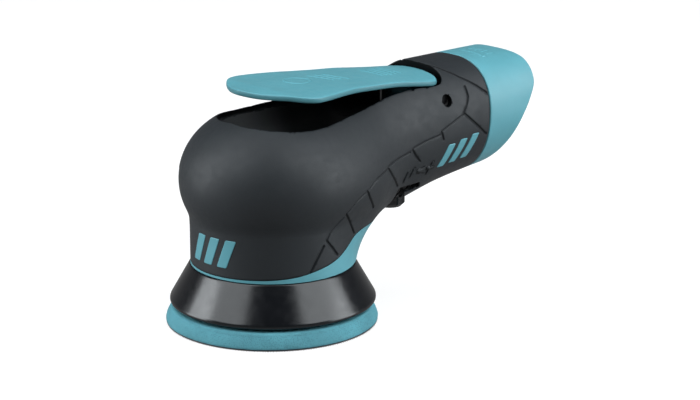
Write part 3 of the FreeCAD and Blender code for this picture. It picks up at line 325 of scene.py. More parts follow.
def field_mesh(depth, low, high, step):
    """Quads on the zero level of a field: (points, faces)."""
    size = [int(math.ceil((b - a) / step)) + 1 for a, b in zip(low, high)]
    grid = openvdb.FloatGrid(step * 4)
    grid.copyFromArray(fine_values(depth, low, size, step))
    points, quads = grid.convertToQuads()
    return points.astype(float) * step + np.array(low), quads


def gradient(depth, p, h=0.02):
    """Unit direction in which the field grows, and its slope."""
    g = np.empty_like(p)
    for axis in range(3):
        ahead = p.copy()
        behind = p.copy()
        ahead[:, axis] += h
        behind[:, axis] -= h
        g[:, axis] = (depth(*ahead.T) - depth(*behind.T)) / (2 * h)
    slope = np.maximum(np.linalg.norm(g, axis=1), 1e-6)
    return g / slope[:, None], slope


def settled(depth, p, rounds=3, most=0.5):
    """Points moved on to the zero level of the field."""
    for _ in range(rounds):
        direction, slope = gradient(depth, p)
        move = np.clip(depth(*p.T) / slope, -most, most)
        p = p - direction * move[:, None]
    return p


def mesh_object(name, points, faces, normals=None):
    """Object in metres from points in millimetres, smooth-shaded."""
    mesh = bpy.data.meshes.new(name)
    mesh.from_pydata((points * MM).tolist(), [], [list(face) for face in faces])
    mesh.update()
    obj = bpy.data.objects.new(name, mesh)
    bpy.context.scene.collection.objects.link(obj)
    for polygon in mesh.polygons:
        polygon.use_smooth = True
    if normals is not None:
        mesh.normals_split_custom_set_from_vertices(normals.tolist())
    return obj


def refined(points, faces, near, rounds):
    """Faces where near(points) is true cut into four, a few times over."""
    bm = bmesh.new()
    verts = [bm.verts.new(p) for p in points]
    for face in faces:
        bm.faces.new([verts[i] for i in face])
    bm.normal_update()
    for _ in range(rounds):
        bm.verts.ensure_lookup_table()
        co = np.array([v.co for v in bm.verts])
        bm.verts.index_update()
        chosen = near(co)
        edges = [e for e in bm.edges if chosen[e.verts[0].index] and chosen[e.verts[1].index]]
        bmesh.ops.subdivide_edges(bm, edges=edges, cuts=1, use_grid_fill=True)
    bm.verts.index_update()
    co = np.array([v.co for v in bm.verts])
    out = [[v.index for v in f.verts] for f in bm.faces]
    bm.free()
    return co, out


def field_object(name, depth, low, high, step, near=None, rounds=1):
    """Smooth object on the zero level of a field, refined where near says so."""
    points, faces = field_mesh(depth, low, high, step)
    points = settled(depth, points)
    if near is not None:
        points, faces = refined(points, faces, near, rounds)
        points = settled(depth, points, 3, step)
    normals, _ = gradient(depth, points)
    return mesh_object(name, points, faces, normals)


def attach(obj, body, slot, *nodes):
    """The piece rides on a body and stands for CAD nodes; the slot is not used."""
    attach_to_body(obj, body)
    if nodes:
        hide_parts(*nodes)
    return obj


# ------------------------ grip
GROOVES = (
    ((-8.8, -33.4, 27.4), (-7.1, -33.8, 30.4), (-4.9, -34.2, 34.0), (-1.8, -34.5, 38.6)),
    ((-0.2, -34.5, 40.6), (1.5, -34.5, 38.6), (6.1, -34.0, 33.3)),
    ((9.2, -36.2, 50.1), (13.7, -33.5, 45.4), (17.8, -31.4, 39.6)),
    ((21.6, -35.6, 57.7), (23.6, -34.4, 54.5), (29.5, -30.0, 48.0)),
    ((37.7, -30.4, 63.6), (42.7, -28.0, 58.6), (49.6, -23.3, 52.1)),
    ((56.8, -25.1, 67.1), (58.4, -24.7, 64.6), (62.0, -23.9, 61.0)),
    ((73.7, -25.0, 72.2), (74.6, -24.9, 69.8), (75.1, -24.8, 68.5)),
    ((86.8, -24.8, 78.3), (89.3, -24.3, 81.5), (90.9, -23.3, 84.8), (90.9, -21.3, 88.8)),
    ((87.2, -24.8, 78.0), (93.6, -24.9, 72.9), (101.8, -23.7, 66.3)),
    ((78.2, 0.0, 97.8), (79.8, -4.0, 97.8), (85.6, -13.6, 95.4), (90.5, -18.2, 92.4),
     (102.7, -23.3, 84.2)),
)
STEPS = (
    ((-0.2, -34.5, 40.6), (1.4, -34.6, 43.2), (4.5, -34.8, 45.9), (8.8, -36.1, 49.8)),
    ((9.4, -36.4, 50.8), (14.6, -36.7, 54.7), (21.0, -35.7, 57.5)),
    ((22.6, -35.3, 58.1), (28.3, -33.8, 61.3), (37.0, -30.6, 63.1)),
    ((38.3, -30.1, 64.3), (44.5, -27.8, 65.2), (55.0, -25.2, 66.2)),
    ((57.2, -25.0, 67.6), (63.4, -25.0, 69.3), (70.8, -25.0, 70.5), (73.7, -25.0, 70.9)),
    ((74.1, -25.0, 72.4), (79.9, -25.0, 74.8), (86.3, -24.9, 77.5)),
)
GROOVE_R = 0.5
STEP_R = 0.32
GROOVE_REACH = 1.6
PANEL_EDGE = ((29.6, 49.1), (35.4, 50.7), (49.1, 50.8), (64.0, 50.2), (72.4, 51.7), (77.1, 53.1),
              (86.2, 53.6))
UNDER_DEPTH = 1.8
UNDER_START_X = 51.0
OPEN_EDGE = (74.0, 0.85)     # rear end of the open space at the keel, and how fast it runs forwards
SLOT_LENGTH = 9.0
SLOT_HEIGHT = 4.2
SLOT_END_RAMP = 1.5
SLOT_RAMP = 0.9
UNDER_RAMP = 4.0
MARK_RISE = 0.45
MARK_RAMP = 0.4
MARK_CORNER = 0.3
MARK_LEAN = 0.4
SETTING_BARS = (((54.8, 55.4), (0.45, 2.3), MARK_LEAN), ((58.6, 56.4), (0.45, 1.9), MARK_LEAN),
                ((69.6, 56.6), (0.45, 2.6), MARK_LEAN), ((69.6, 56.6), (2.0, 0.4), 0.0))
WEDGE_X = 61.6
WEDGE_LENGTH = 4.8
WEDGE_Z = 56.4
WEDGE_HALF = 0.35
WEDGE_GROWTH = 0.9
SIDE_Y = 12.0                # beyond this |Y| the grip's surface counts as its sides
EDGE_END_X = 44.0
GROOVE_ROUND = 0.35
STEP_ROUND = 0.5
RIM_ROUND = 0.9
EDGE_ROUND = 0.7
REAR_ROUND = 0.9
GRIP_PIN_ROUND = 0.4
KNOB_HOLE_ROUND = 0.5
KNOB_HOLE_TOP_Z = 55.0
STEM_HOLE_LOW_Z = 60.0

panel_edge = along([x for x, z in PANEL_EDGE], [z for x, z in PANEL_EDGE])


def eased(value):
    """Smooth step from 0 to 1."""
    value = np.clip(value, 0.0, 1.0)
    return value * value * (3 - 2 * value)


def laid_segments(paths):
    """Paths laid on the grip's surface, as the starts and ends of short segments."""
    starts = []
    ends = []
    for path in paths:
        corners = np.array(path)
        dense = [corners[0]]
        for a, b in zip(corners, corners[1:]):
            count = max(1, round(np.linalg.norm(b - a) / 3.0))
            dense += [a + (b - a) * k / count for k in range(1, count + 1)]
        laid = settled(grip_depth, np.array(dense), 6, 1.0)
        starts += list(laid[:-1])
        ends += list(laid[1:])
    return np.array(starts), np.array(ends)


GROOVE_SEGMENTS = laid_segments(GROOVES)
STEP_SEGMENTS = laid_segments(STEPS)


def path_distance(x, y, z, segments, reach):
    """Distance to the segments on either side of the grip, up to a reach."""
    points = np.stack([x, -np.abs(y), z], -1)
    order = np.argsort(points[:, 0])
    lined = points[order]
    best = np.full(len(points), reach)
    for a, b in zip(*segments):
        low = np.searchsorted(lined[:, 0], min(a[0], b[0]) - reach)
        high = np.searchsorted(lined[:, 0], max(a[0], b[0]) + reach)
        near = lined[low:high]
        run = b - a
        t = np.clip((near - a) @ run / (run @ run), 0, 1)
        gap = np.linalg.norm(near - (a + t[:, None] * run), axis=1)
        best[low:high] = np.minimum(best[low:high], gap)
    out = np.empty(len(points))
    out[order] = best
    return out


def bar(u, v, centre, half, lean=0.0, corner=0.5):
    """Signed distance to a leaning rectangle with rounded corners in a flat (u, v) plane."""
    du = np.abs(u - centre[0] - (v - centre[1]) * lean) - half[0] + corner
    dv = np.abs(v - centre[1]) - half[1] + corner
    return np.hypot(np.maximum(du, 0), np.maximum(dv, 0)) + np.minimum(np.maximum(du, dv), 0) - corner


def setting_marks(x, z):
    """Flat distance to the moulded bars, wedge and plus beside the speed valve."""
    marks = np.min([bar(x, z, centre, half, lean, MARK_CORNER) for centre, half, lean in SETTING_BARS], 0)
    grow = (x - WEDGE_X) / WEDGE_LENGTH
    ends = np.abs(grow - 0.5) * WEDGE_LENGTH - WEDGE_LENGTH / 2
    wedge = np.maximum(np.abs(z - WEDGE_Z) - WEDGE_HALF - WEDGE_GROWTH * grow, ends)
    return np.minimum(marks, wedge)


def sunk_underside(x, y, z):
    """How far the underside is sunk, 0 to 1: open round the speed valve, then a slot each side."""
    below = panel_edge(x) - z
    behind = x - OPEN_EDGE[0] + OPEN_EDGE[1] * np.abs(y)
    slot = eased((SLOT_LENGTH - behind) / SLOT_END_RAMP) * eased((SLOT_HEIGHT - below) / SLOT_RAMP)
    space = np.maximum(eased(-behind / SLOT_RAMP), slot)
    return eased((x - UNDER_START_X) / UNDER_RAMP) * eased(below / SLOT_RAMP) * space


def grip_skin(x, y, z):
    """Outer surface of the rubber with its marks and the sunk underside."""
    depth = grip_depth(x, y, z)
    depth = depth + UNDER_DEPTH * sunk_underside(x, y, z)
    rise = eased(0.5 - setting_marks(x, z) / MARK_RAMP) * (np.abs(y) > SIDE_Y)
    return depth - MARK_RISE * rise


def below_edge(x, z):
    """Signed distance to the space under the rubber's lower edge."""
    return np.maximum(z - grip_edge(x), x - EDGE_END_X)


def grip_body(x, y, z):
    """Rubber skin with the throttle recess, rounded at every edge."""
    skin = grip_skin(x, y, z)
    grooves = path_distance(x, y, z, GROOVE_SEGMENTS, GROOVE_REACH)
    steps = path_distance(x, y, z, STEP_SEGMENTS, GROOVE_REACH)
    body = soft_max(skin, GROOVE_R - grooves, GROOVE_ROUND)
    body = soft_max(body, STEP_R - steps, STEP_ROUND)
    void = recess_void(x, y, z)
    body = soft_max(body, -void, RIM_ROUND)
    body = soft_max(body, -below_edge(x, z), EDGE_ROUND)
    body = soft_max(body, x - GRIP_REAR, REAR_ROUND)
    inside = np.maximum(grip_depth(x, y, z) + SKIN, LINING - void)
    body = np.maximum(body, -inside)
    pin = np.hypot(x - PIN_X, z - PIN_Z) - PIN_HOLE_R
    body = soft_max(body, -pin, GRIP_PIN_ROUND)
    knob = np.maximum(np.hypot(x - KNOB_X, y) - KNOB_HOLE_R, z - KNOB_HOLE_TOP_Z)
    body = soft_max(body, -knob, KNOB_HOLE_ROUND)
    stem = np.hypot(x - STEM_X, y) - STEM_BUSH_R
    return np.maximum(body, -np.maximum(stem, STEM_HOLE_LOW_Z - z))


def near_grip_detail(p):
    """Where the grip needs finer faces: grooves, rims and holes."""
    x, y, z = p.T
    outside = np.abs(grip_depth(x, y, z)) < 2.0
    grooves = path_distance(x, y, z, GROOVE_SEGMENTS, GROOVE_REACH) < 1.3
    steps = path_distance(x, y, z, STEP_SEGMENTS, GROOVE_REACH) < 1.1
    rim = np.abs(recess_void(x, y, z)) < 0.9
    edge = np.abs(below_edge(x, z)) < 0.9
    rear = np.abs(x - GRIP_REAR) < 0.9
    pin = np.abs(np.hypot(x - PIN_X, z - PIN_Z) - PIN_HOLE_R) < 0.8
    marks = (setting_marks(x, z) < 0.7) & (np.abs(y) > SIDE_Y)
    under = np.abs(sunk_underside(x, y, z) - 0.5) < 0.49
    return outside & (grooves | steps | rim | edge | rear | pin | marks | under)


# ------------------------ lever
CHEEK = ((58.0, 95.4), (79.0, 93.2), (82.6, 86.4), (81.5, 81.4), (75.5, 81.4), (69.0, 89.5))
HUB_R = 4.4
HUB_HALF = 12.0
CHEEK_Y = 10.5
CHEEK_HALF = 1.5
LEVER_PIN_HOLE = 2.05
EMBOSS = 0.3
LEVER_ROUND = 1.2
HUB_ROUND = 0.8
CHEEK_ROUND = 0.6
CHEEK_JOIN = 1.2
PLATE_JOIN = 1.0
PIN_HOLE_ROUND = 0.4
RING_X = 14.0
RING_R = 5.6
RING_HALF = 0.45
FRONT_BARS = (3, 27.0, 4.2)         # count, first X and pitch
FRONT_BAR_HALF = (0.8, 6.2)
REAR_BARS = (5, 56.0, 2.6)
REAR_BAR_HALF = (0.5, 7.0)

cheek_outline = FlatField(np.array(CHEEK))


def emboss_ring(u, v, centre, radius, width):
    """Flat distance to a ring."""
    return np.abs(np.hypot(u - centre[0], v - centre[1]) - radius) - width


def lever_marks(x, y):
    """Flat distance to the plain ring and bars moulded on the lever."""
    marks = emboss_ring(x, y, (RING_X, 0.0), RING_R, RING_HALF)
    for (count, first, pitch), half, lean, corner in ((FRONT_BARS, FRONT_BAR_HALF, -0.3, 0.5),
                                                      (REAR_BARS, REAR_BAR_HALF, 0.0, 0.4)):
        for k in range(count):
            marks = np.minimum(marks, bar(x, y, (first + pitch * k, 0.0), half, lean, corner))
    return marks


def lever_top(x, y):
    """Height of the lever's arched top."""
    edge = lever_edge(x) - LEVER_DROP - FRONT_DROOP * eased((DROOP_X - x) / DROOP_LENGTH)
    arch = np.maximum(1 - (y / REAR_CROWN_HALF) ** 2, 0.0)
    rear = REAR_CROWN * arch * eased((x - REAR_CROWN_X) / REAR_CROWN_LENGTH)
    return edge + LEVER_CROWN * (1 - (y / LEVER_HALF) ** 2) + rear


def lever_body(x, y, z):
    """Arched palm lever with its cheeks and hub."""
    middle = lever_top(x, y) - LEVER_T / 2
    slope = np.hypot(2 * LEVER_CROWN * y / LEVER_HALF ** 2, 1.0)
    rise = EMBOSS * eased(0.5 - lever_marks(x, y) / 0.5) * (z > middle)
    rear_growth = LEVER_REAR_GROWTH * eased((x - REAR_GROWTH_SPAN[0]) / REAR_GROWTH_SPAN[1])
    end_growth = LEVER_END_GROWTH * eased((x - END_GROWTH_SPAN[0]) / END_GROWTH_SPAN[1])
    plan = lever_plan(x, y) - (rear_growth + end_growth)
    plate = soft_max(plan, (np.abs(z - middle) - LEVER_T / 2) / slope - rise, LEVER_ROUND)
    hub = soft_max(np.hypot(x - PIN_X, z - PIN_Z) - HUB_R, np.abs(y) - HUB_HALF, HUB_ROUND)
    cheek = soft_max(cheek_outline(x, z), np.abs(np.abs(y) - CHEEK_Y) - CHEEK_HALF, CHEEK_ROUND)
    lower = soft_min(hub, np.maximum(cheek, z - middle), CHEEK_JOIN)
    body = soft_min(plate, lower, PLATE_JOIN)
    hole = np.hypot(x - PIN_X, z - PIN_Z) - LEVER_PIN_HOLE
    return soft_max(body, -hole, PIN_HOLE_ROUND)


def near_lever_detail(p):
    """Where the lever needs finer faces."""
    x, y = p.T[:2]
    return (np.abs(lever_plan(x, y)) < 2.4) | (lever_marks(x, y) < 0.8)


# ------------------------ rear cap
LOUVRE_Z = (51.0, 54.6)
LOUVRE_PITCH = 3.6
LOUVRE_HALF = 0.8
SCREW_BOSS_R = 4.4
SCREW_R = 1.7
SCREW_HEAD_R = 3.3
SCREW_SEAT_X = 108.3
CAP_ROUND = 1.8
CAP_TOP_Z = 85.0             # above this the cap's surface counts as its top
CAP_EDGE_ROUND = 0.6
LOUVRE_MID_Z = sum(LOUVRE_Z) / 2
LOUVRE_HALF_HEIGHT = 1.8
LOUVRE_SIDE_COUNT = 3
LOUVRE_FRONT_X = 104.6
COLLAR_GAP = 0.2


def cap_face(x, z):
    """Signed distance to the cap's curved rear face."""
    slope = cap_rear(z + 0.5) - cap_rear(z - 0.5)
    return (x - cap_rear(z)) / np.hypot(1.0, slope)


def cap_marks(x, y):
    """Flat distance to the plain bars moulded on the cap's top."""
    marks = bar(x, y, (113.5, -3.0), (1.0, 7.5), 0.0, 0.6)
    for k in range(4):
        marks = np.minimum(marks, bar(x, y, (119.0, -8.2 + 3.6 * k), (2.2, 0.8), 0.25, 0.5))
    return marks


def cap_body(x, y, z):
    """Moulded rear cap: a rounded shell with bosses, holes and louvres."""
    grip = grip_depth(x, y, z)
    face = cap_face(x, z)
    raised = EMBOSS * eased(0.5 - cap_marks(x, y) / 0.5) * (z > CAP_TOP_Z)
    outside = soft_max(grip - raised, face, CAP_ROUND)
    outside = soft_max(outside, CAP_FRONT - x, CAP_EDGE_ROUND)
    inside = np.maximum(grip + CAP_WALL, face + CAP_WALL)
    for across, up in CAP_SCREWS:
        boss = np.hypot(np.abs(y) - across, z - up) - SCREW_BOSS_R
        inside = np.maximum(inside, -boss)
    body = np.maximum(outside, -inside)
    body = soft_max(body, INLET_COLLAR_R + COLLAR_GAP - np.hypot(y, z - AIR_Z), 0.9)
    for across, up in CAP_SCREWS:
        away = np.hypot(np.abs(y) - across, z - up)
        body = soft_max(body, SCREW_R - away, 0.2)
        body = soft_max(body, -np.maximum(away - SCREW_HEAD_R, SCREW_SEAT_X - x), 0.5)
    column = np.round(np.clip(y / LOUVRE_PITCH, -LOUVRE_SIDE_COUNT, LOUVRE_SIDE_COUNT)) * LOUVRE_PITCH
    louvre = np.maximum(np.abs(y - column) - LOUVRE_HALF, np.abs(z - LOUVRE_MID_Z) - LOUVRE_HALF_HEIGHT)
    louvre = np.maximum(louvre, LOUVRE_FRONT_X - x)
    return soft_max(body, -louvre, 0.4)


def near_cap_detail(p):
    """Where the cap needs finer faces."""
    x, y, z = p.T
    marks = (cap_marks(x, y) < 0.8) & (z > CAP_TOP_Z)
    away = np.min([np.hypot(np.abs(y) - a, z - b) for a, b in CAP_SCREWS], 0)
    louvre = (np.abs(z - LOUVRE_MID_Z) < 3) & (np.abs(y) < 13) & (x > 104)
    collar = np.abs(np.hypot(y, z - AIR_Z) - INLET_COLLAR_R) < 1.2
    return marks | (away < 4.0) | louvre | collar | (x < CAP_FRONT + 0.8)


# ------------------------ inlays
INLAY_RISE = 0.22
INLAY_DEPTH = 0.5
INLAY_ROUND = 0.25
INLAY_CORNER = 0.7
SIDE_BARS = (((78.6, 60.6), 5.0), ((85.6, 61.6), 5.2), ((92.6, 62.6), 5.4))     # centre, half height
SIDE_BAR_HALF = 2.1
SIDE_BAR_LEAN = 0.45
WAIST_BARS = (-6.0, 2.0, 10.0)      # distance round the waist from its front
WAIST_BAR_Z = 36.0
WAIST_BAR_HALF = (2.5, 6.0)
WAIST_BAR_LEAN = 0.4


def side_bars(x, y, z):
    """Flat distance to the slanted teal bars on the handle's sides."""
    return np.min([bar(x, z, centre, (SIDE_BAR_HALF, half), SIDE_BAR_LEAN, INLAY_CORNER)
                   for centre, half in SIDE_BARS], 0)


def front_bars(x, y, z):
    """Flat distance to the slanted teal bars on the front of the waist."""
    round_front = WAIST_R * np.arctan2(-y, -x)
    return np.min([bar(round_front, z, (place, WAIST_BAR_Z), WAIST_BAR_HALF, WAIST_BAR_LEAN, INLAY_CORNER)
                   for place in WAIST_BARS], 0)


def inlay(flat):
    """A thin raised layer on the grip with a flat outline."""

    def depth(x, y, z):
        skin = grip_depth(x, y, z)
        return soft_max(np.maximum(skin - INLAY_RISE, -skin - INLAY_DEPTH), flat(x, y, z), INLAY_ROUND)

    return depth


# ------------------------ turned pieces
def rounded(corners, radius, steps=5):
    """Outline points with each inner corner replaced by a small arc."""
    points = [np.array(corners[0])]
    for before, corner, after in zip(corners, corners[1:], corners[2:]):
        a, b, c = np.array(before), np.array(corner), np.array(after)
        back = min(radius, 0.45 * np.linalg.norm(a - b))
        ahead = min(radius, 0.45 * np.linalg.norm(c - b))
        start = b + (a - b) / np.linalg.norm(a - b) * back
        end = b + (c - b) / np.linalg.norm(c - b) * ahead
        for k in range(steps + 1):
            t = k / steps
            points.append((1 - t) ** 2 * start + 2 * t * (1 - t) * b + t * t * end)
    points.append(np.array(corners[-1]))
    return np.array(points)


def lathe(name, profile, closed, centre=(0.0, 0.0), segments=256, ripple=None):
    """Solid turned about a vertical axis from (radius, height) points."""
    turns = np.arange(segments) * 2 * math.pi / segments
    radius = np.repeat(profile[:, 0][None, :], segments, 0)
    height = np.repeat(profile[:, 1][None, :], segments, 0)
    if ripple is not None:
        radius = radius + ripple(turns[:, None], height) * (radius > 1.0)
    x = centre[0] + radius * np.cos(turns)[:, None]
    y = centre[1] + radius * np.sin(turns)[:, None]
    points = np.stack([x, y, height], -1).reshape(-1, 3)
    count = len(profile)
    faces = []
    spans = count if closed else count - 1
    for i in range(segments):
        j = (i + 1) % segments
        for k in range(spans):
            m = (k + 1) % count
            faces.append([i * count + k, j * count + k, j * count + m, i * count + m])
    mesh = bpy.data.meshes.new(name)
    mesh.from_pydata((points * MM).tolist(), [], faces)
    bm = bmesh.new()
    bm.from_mesh(mesh)
    bmesh.ops.remove_doubles(bm, verts=bm.verts, dist=1e-7)
    bmesh.ops.recalc_face_normals(bm, faces=bm.faces)
    bm.to_mesh(mesh)
    bm.free()
    for polygon in mesh.polygons:
        polygon.use_smooth = True
    mesh.set_sharp_from_angle(angle=math.radians(50))
    obj = bpy.data.objects.new(name, mesh)
    bpy.context.scene.collection.objects.link(obj)
    return obj


SHROUD = ((33.4, 24.7), (34.7, 24.7), (35.4, 23.5), (43.3, 9.7), (43.3, 8.6), (42.5, 8.05),
          (41.6, 8.05), (41.1, 9.4), (35.6, 19.0), (31.5, 19.0), (31.5, 24.7), (33.4, 24.7))


def shroud_piece():
    """Gloss skirt with a rolled lip."""
    profile = rounded(SHROUD, 0.7)[:-1]
    return lathe("shroud_skirt", profile, True)


PAD_R = 44.5
PAD_TOP_R = 42.3
POCKET_R = 9.8
FOAM_BULGE = 0.25


def foam_ripple(turn, height):
    """Slight unevenness of the moulded foam edge."""
    waves = 0.0
    for count, phase, size in ((7, 0.3, 0.05), (13, 1.1, 0.04), (29, 2.0, 0.03), (61, 0.7, 0.02)):
        waves = waves + size * np.sin(count * turn + phase + 0.9 * height)
    return waves


def foam_piece():
    """Foam disc with a tapered, softly rounded edge and a pocket for the rivet heads."""
    side = [(PAD_R - 0.1, 1.0), (PAD_R, 1.2), (PAD_R, 1.7)]
    for k in range(1, 10):
        t = k / 10
        bulge = FOAM_BULGE * math.sin(math.pi * t)
        side.append((PAD_R + (PAD_TOP_R - PAD_R) * t + bulge, 1.8 + 4.4 * t))
    corners = [(0.0, 1.0), (20.0, 1.0)] + side + [(PAD_TOP_R - 0.1, 6.6), (PAD_TOP_R - 0.8, 7.0),
                                                 (POCKET_R, 7.0), (POCKET_R, 6.0), (0.0, 6.0)]
    return lathe("foam_pad", rounded(corners, 0.3, 3), False, CRANK, 384, foam_ripple)


HOOK_PITCH = 1.55
HOOK_R = 0.09
HOOK_ROOT = 0.36
ROW_PITCH = HOOK_PITCH * math.sqrt(0.75)
EDGE_HOOKS = 250
HOOK_SHAPE = ((0.0, HOOK_ROOT), (0.0, 0.24), (0.02, 0.12), (0.12, 0.05), (0.26, 0.07), (0.3, 0.18))


def hook_piece():
    """Hook tape: a thin backing with a field of small bent hooks under it and round its edge."""
    rim = PAD_R - 0.12
    base = lathe("hook_face", rounded([(0.0, HOOK_ROOT), (rim - 0.1, HOOK_ROOT), (rim, 0.65),
                                       (rim - 0.05, 1.0), (0.0, 1.0)], 0.1, 3), False, CRANK, 384)
    bm = bmesh.new()
    bm.from_mesh(base.data)
    rows = int(PAD_R / ROW_PITCH)
    for row in range(-rows, rows + 1):
        v = row * ROW_PITCH
        columns = int(PAD_R / HOOK_PITCH) + 1
        for column in range(-columns, columns + 1):
            u = (column + 0.5 * (row % 2)) * HOOK_PITCH + 0.2 * (RNG.random() - 0.5)
            if math.hypot(u, v) > PAD_R - 0.75:
                continue
            add_hook(bm, CRANK[0] + u, CRANK[1] + v, RNG.random() * 2 * math.pi, HOOK_SHAPE)
    for k in range(EDGE_HOOKS):
        turn = 2 * math.pi * (k + 0.3 * RNG.random()) / EDGE_HOOKS
        radius = PAD_R - 0.3
        x = CRANK[0] + radius * math.cos(turn)
        y = CRANK[1] + radius * math.sin(turn)
        add_hook(bm, x, y, turn, HOOK_SHAPE)
    bm.to_mesh(base.data)
    bm.free()
    for polygon in base.data.polygons:
        polygon.use_smooth = True
    return base


def add_hook(bm, x, y, turn, shape):
    """One bent hook: a tapering four-sided tube along its shape."""
    across = Vector((-math.sin(turn), math.cos(turn), 0))
    along_ = Vector((math.cos(turn), math.sin(turn), 0))
    rings = []
    for k, (out, up) in enumerate(shape):
        thick = HOOK_R * (1 - 0.08 * k)
        centre = Vector((x, y, up)) + along_ * (out - 0.12)
        before = shape[max(k - 1, 0)]
        after = shape[min(k + 1, len(shape) - 1)]
        run = Vector((after[0] - before[0], after[1] - before[1])).normalized()
        lift = along_ * run.y + Vector((0, 0, -run.x))
        ring = [centre + way * thick for way in (across, lift, -across, -lift)]
        rings.append([bm.verts.new(p * MM) for p in ring])
    for low, high in zip(rings, rings[1:]):
        for k in range(4):
            bm.faces.new([low[k], low[(k + 1) % 4], high[(k + 1) % 4], high[k]])
    bm.faces.new(rings[0][::-1])
    bm.faces.new(rings[-1])


# ------------------------ air inlet
INLET_FRONT_X = 98.0
INLET_STEP_X = 113.0
INLET_THROAT_R = 4.5
INLET_THREAD_R = 9.0
INLET_FLATS = 18.0
THREAD_PITCH = 1.41
THREAD_DEPTH = 0.55


def inlet_body(x, y, z):
    """Threaded inlet: screwed body, collar with spanner flats and a threaded mouth."""
    up = z - AIR_Z
    radius = np.hypot(y, up)
    turn = np.arctan2(up, y)
    body = np.where(x < CAP_FRONT, radius - INLET_THREAD_R, radius - INLET_COLLAR_R)
    collar = soft_max(body, np.where(x > INLET_MOUTH_X - 6.0, np.abs(y) - INLET_FLATS / 2, -5.0), 0.5)
    collar = soft_max(collar, x - INLET_MOUTH_X, 1.2)
    collar = soft_max(collar, INLET_FRONT_X - x, 1.0)
    phase = (x / THREAD_PITCH - turn / (2 * math.pi)) % 1.0
    ridge = np.abs(phase - 0.5) * 2 * THREAD_DEPTH
    flare = 0.9 * eased((x - INLET_MOUTH_X + 1.2) / 1.2)
    threaded = INLET_R - 0.25 + ridge * (x < INLET_MOUTH_X - 0.8) + flare
    bore = np.where(x > INLET_STEP_X, threaded, INLET_THROAT_R)
    groove = np.maximum(8.9 - radius, np.abs(x - CAP_FRONT - 0.45) - 0.55)
    return np.maximum(soft_max(collar, bore - radius, 0.3), -groove)


# ------------------------ materials
def link(tree, source, target):
    """One wire between two sockets."""
    tree.links.new(source, target)


def noise(tree, coordinates, scale, detail=4.0, rough=0.55):
    """Noise texture in object space; scale is per metre."""
    node = tree.nodes.new("ShaderNodeTexNoise")
    node.inputs["Scale"].default_value = scale
    node.inputs["Detail"].default_value = detail
    node.inputs["Roughness"].default_value = rough
    link(tree, coordinates, node.inputs["Vector"])
    return node.outputs["Fac"]


def ranged(tree, value, low, high, to_low, to_high):
    """A value mapped from one range to another, clamped."""
    node = tree.nodes.new("ShaderNodeMapRange")
    for name, number in (("From Min", low), ("From Max", high), ("To Min", to_low), ("To Max", to_high)):
        node.inputs[name].default_value = number
    link(tree, value, node.inputs["Value"])
    return node.outputs["Result"]


def mixed(tree, factor, first, second):
    """Colour between two, each a colour or a socket."""
    node = tree.nodes.new("ShaderNodeMix")
    node.data_type = "RGBA"
    for socket, value in ((node.inputs[6], first), (node.inputs[7], second)):
        if isinstance(value, tuple):
            socket.default_value = (*value, 1.0)
        else:
            link(tree, value, socket)
    link(tree, factor, node.inputs[0])
    return node.outputs[2]


def bumped(tree, height, strength, distance, under=None):
    """Bump from a height, in millimetres, on top of another bump."""
    node = tree.nodes.new("ShaderNodeBump")
    node.inputs["Strength"].default_value = strength
    node.inputs["Distance"].default_value = distance * MM
    link(tree, height, node.inputs["Height"])
    if under is not None:
        link(tree, under, node.inputs["Normal"])
    return node.outputs["Normal"]


def moulded(name, colour, rough, grain=2600.0, grain_depth=0.03, tone=0.1, rough_spread=0.08,
            metallic=0.0, specular=0.5, stretch=None, painted_shade=False, coat=0.0):
    """Procedural surface: fine grain, slow tone drift, uneven gloss and, where asked, painted shade from a vertex
    attribute.
    """
    material = bpy.data.materials.new(name)
    material.use_nodes = True
    tree = material.node_tree
    shader = tree.nodes["Principled BSDF"]
    shader.inputs["Metallic"].default_value = metallic
    shader.inputs["Specular IOR Level"].default_value = specular
    if coat:
        shader.inputs["Coat Weight"].default_value = coat
        shader.inputs["Coat Roughness"].default_value = 0.12
    place = tree.nodes.new("ShaderNodeTexCoord").outputs["Object"]
    if stretch is not None:
        mapping = tree.nodes.new("ShaderNodeMapping")
        mapping.inputs["Scale"].default_value = stretch
        link(tree, place, mapping.inputs["Vector"])
        place = mapping.outputs["Vector"]
    fine = noise(tree, place, grain, 3.0)
    broad = noise(tree, place, 42.0, 5.0)
    patch = noise(tree, place, 260.0, 6.0, 0.65)
    light = tuple(min(c * (1 + tone), 1.0) for c in colour)
    dark = tuple(c * (1 - tone) for c in colour)
    base = mixed(tree, ranged(tree, broad, 0.35, 0.65, 0.0, 1.0), dark, light)
    dust = tuple(c * 0.93 + 0.02 * c ** 0.5 for c in colour)
    base = mixed(tree, ranged(tree, patch, 0.55, 0.8, 0.0, 0.6), base, dust)
    # painted shade: the vertex attribute darkens the colour to an eighth and lowers the specular level where
    # shade falls
    if painted_shade:
        shade = tree.nodes.new("ShaderNodeAttribute")
        shade.attribute_name = "painted_shade"
        base = mixed(tree, shade.outputs["Fac"], base, tuple(c * 0.12 for c in colour))
        link(tree, ranged(tree, shade.outputs["Fac"], 0.0, 1.0, specular, 0.04),
             shader.inputs["Specular IOR Level"])
    link(tree, base, shader.inputs["Base Color"])
    gloss = ranged(tree, patch, 0.3, 0.7, rough - rough_spread, rough + rough_spread)
    link(tree, gloss, shader.inputs["Roughness"])
    normal = bumped(tree, fine, 0.6, grain_depth)
    normal = bumped(tree, patch, 0.4, grain_depth * 1.6, normal)
    link(tree, normal, shader.inputs["Normal"])
    return material


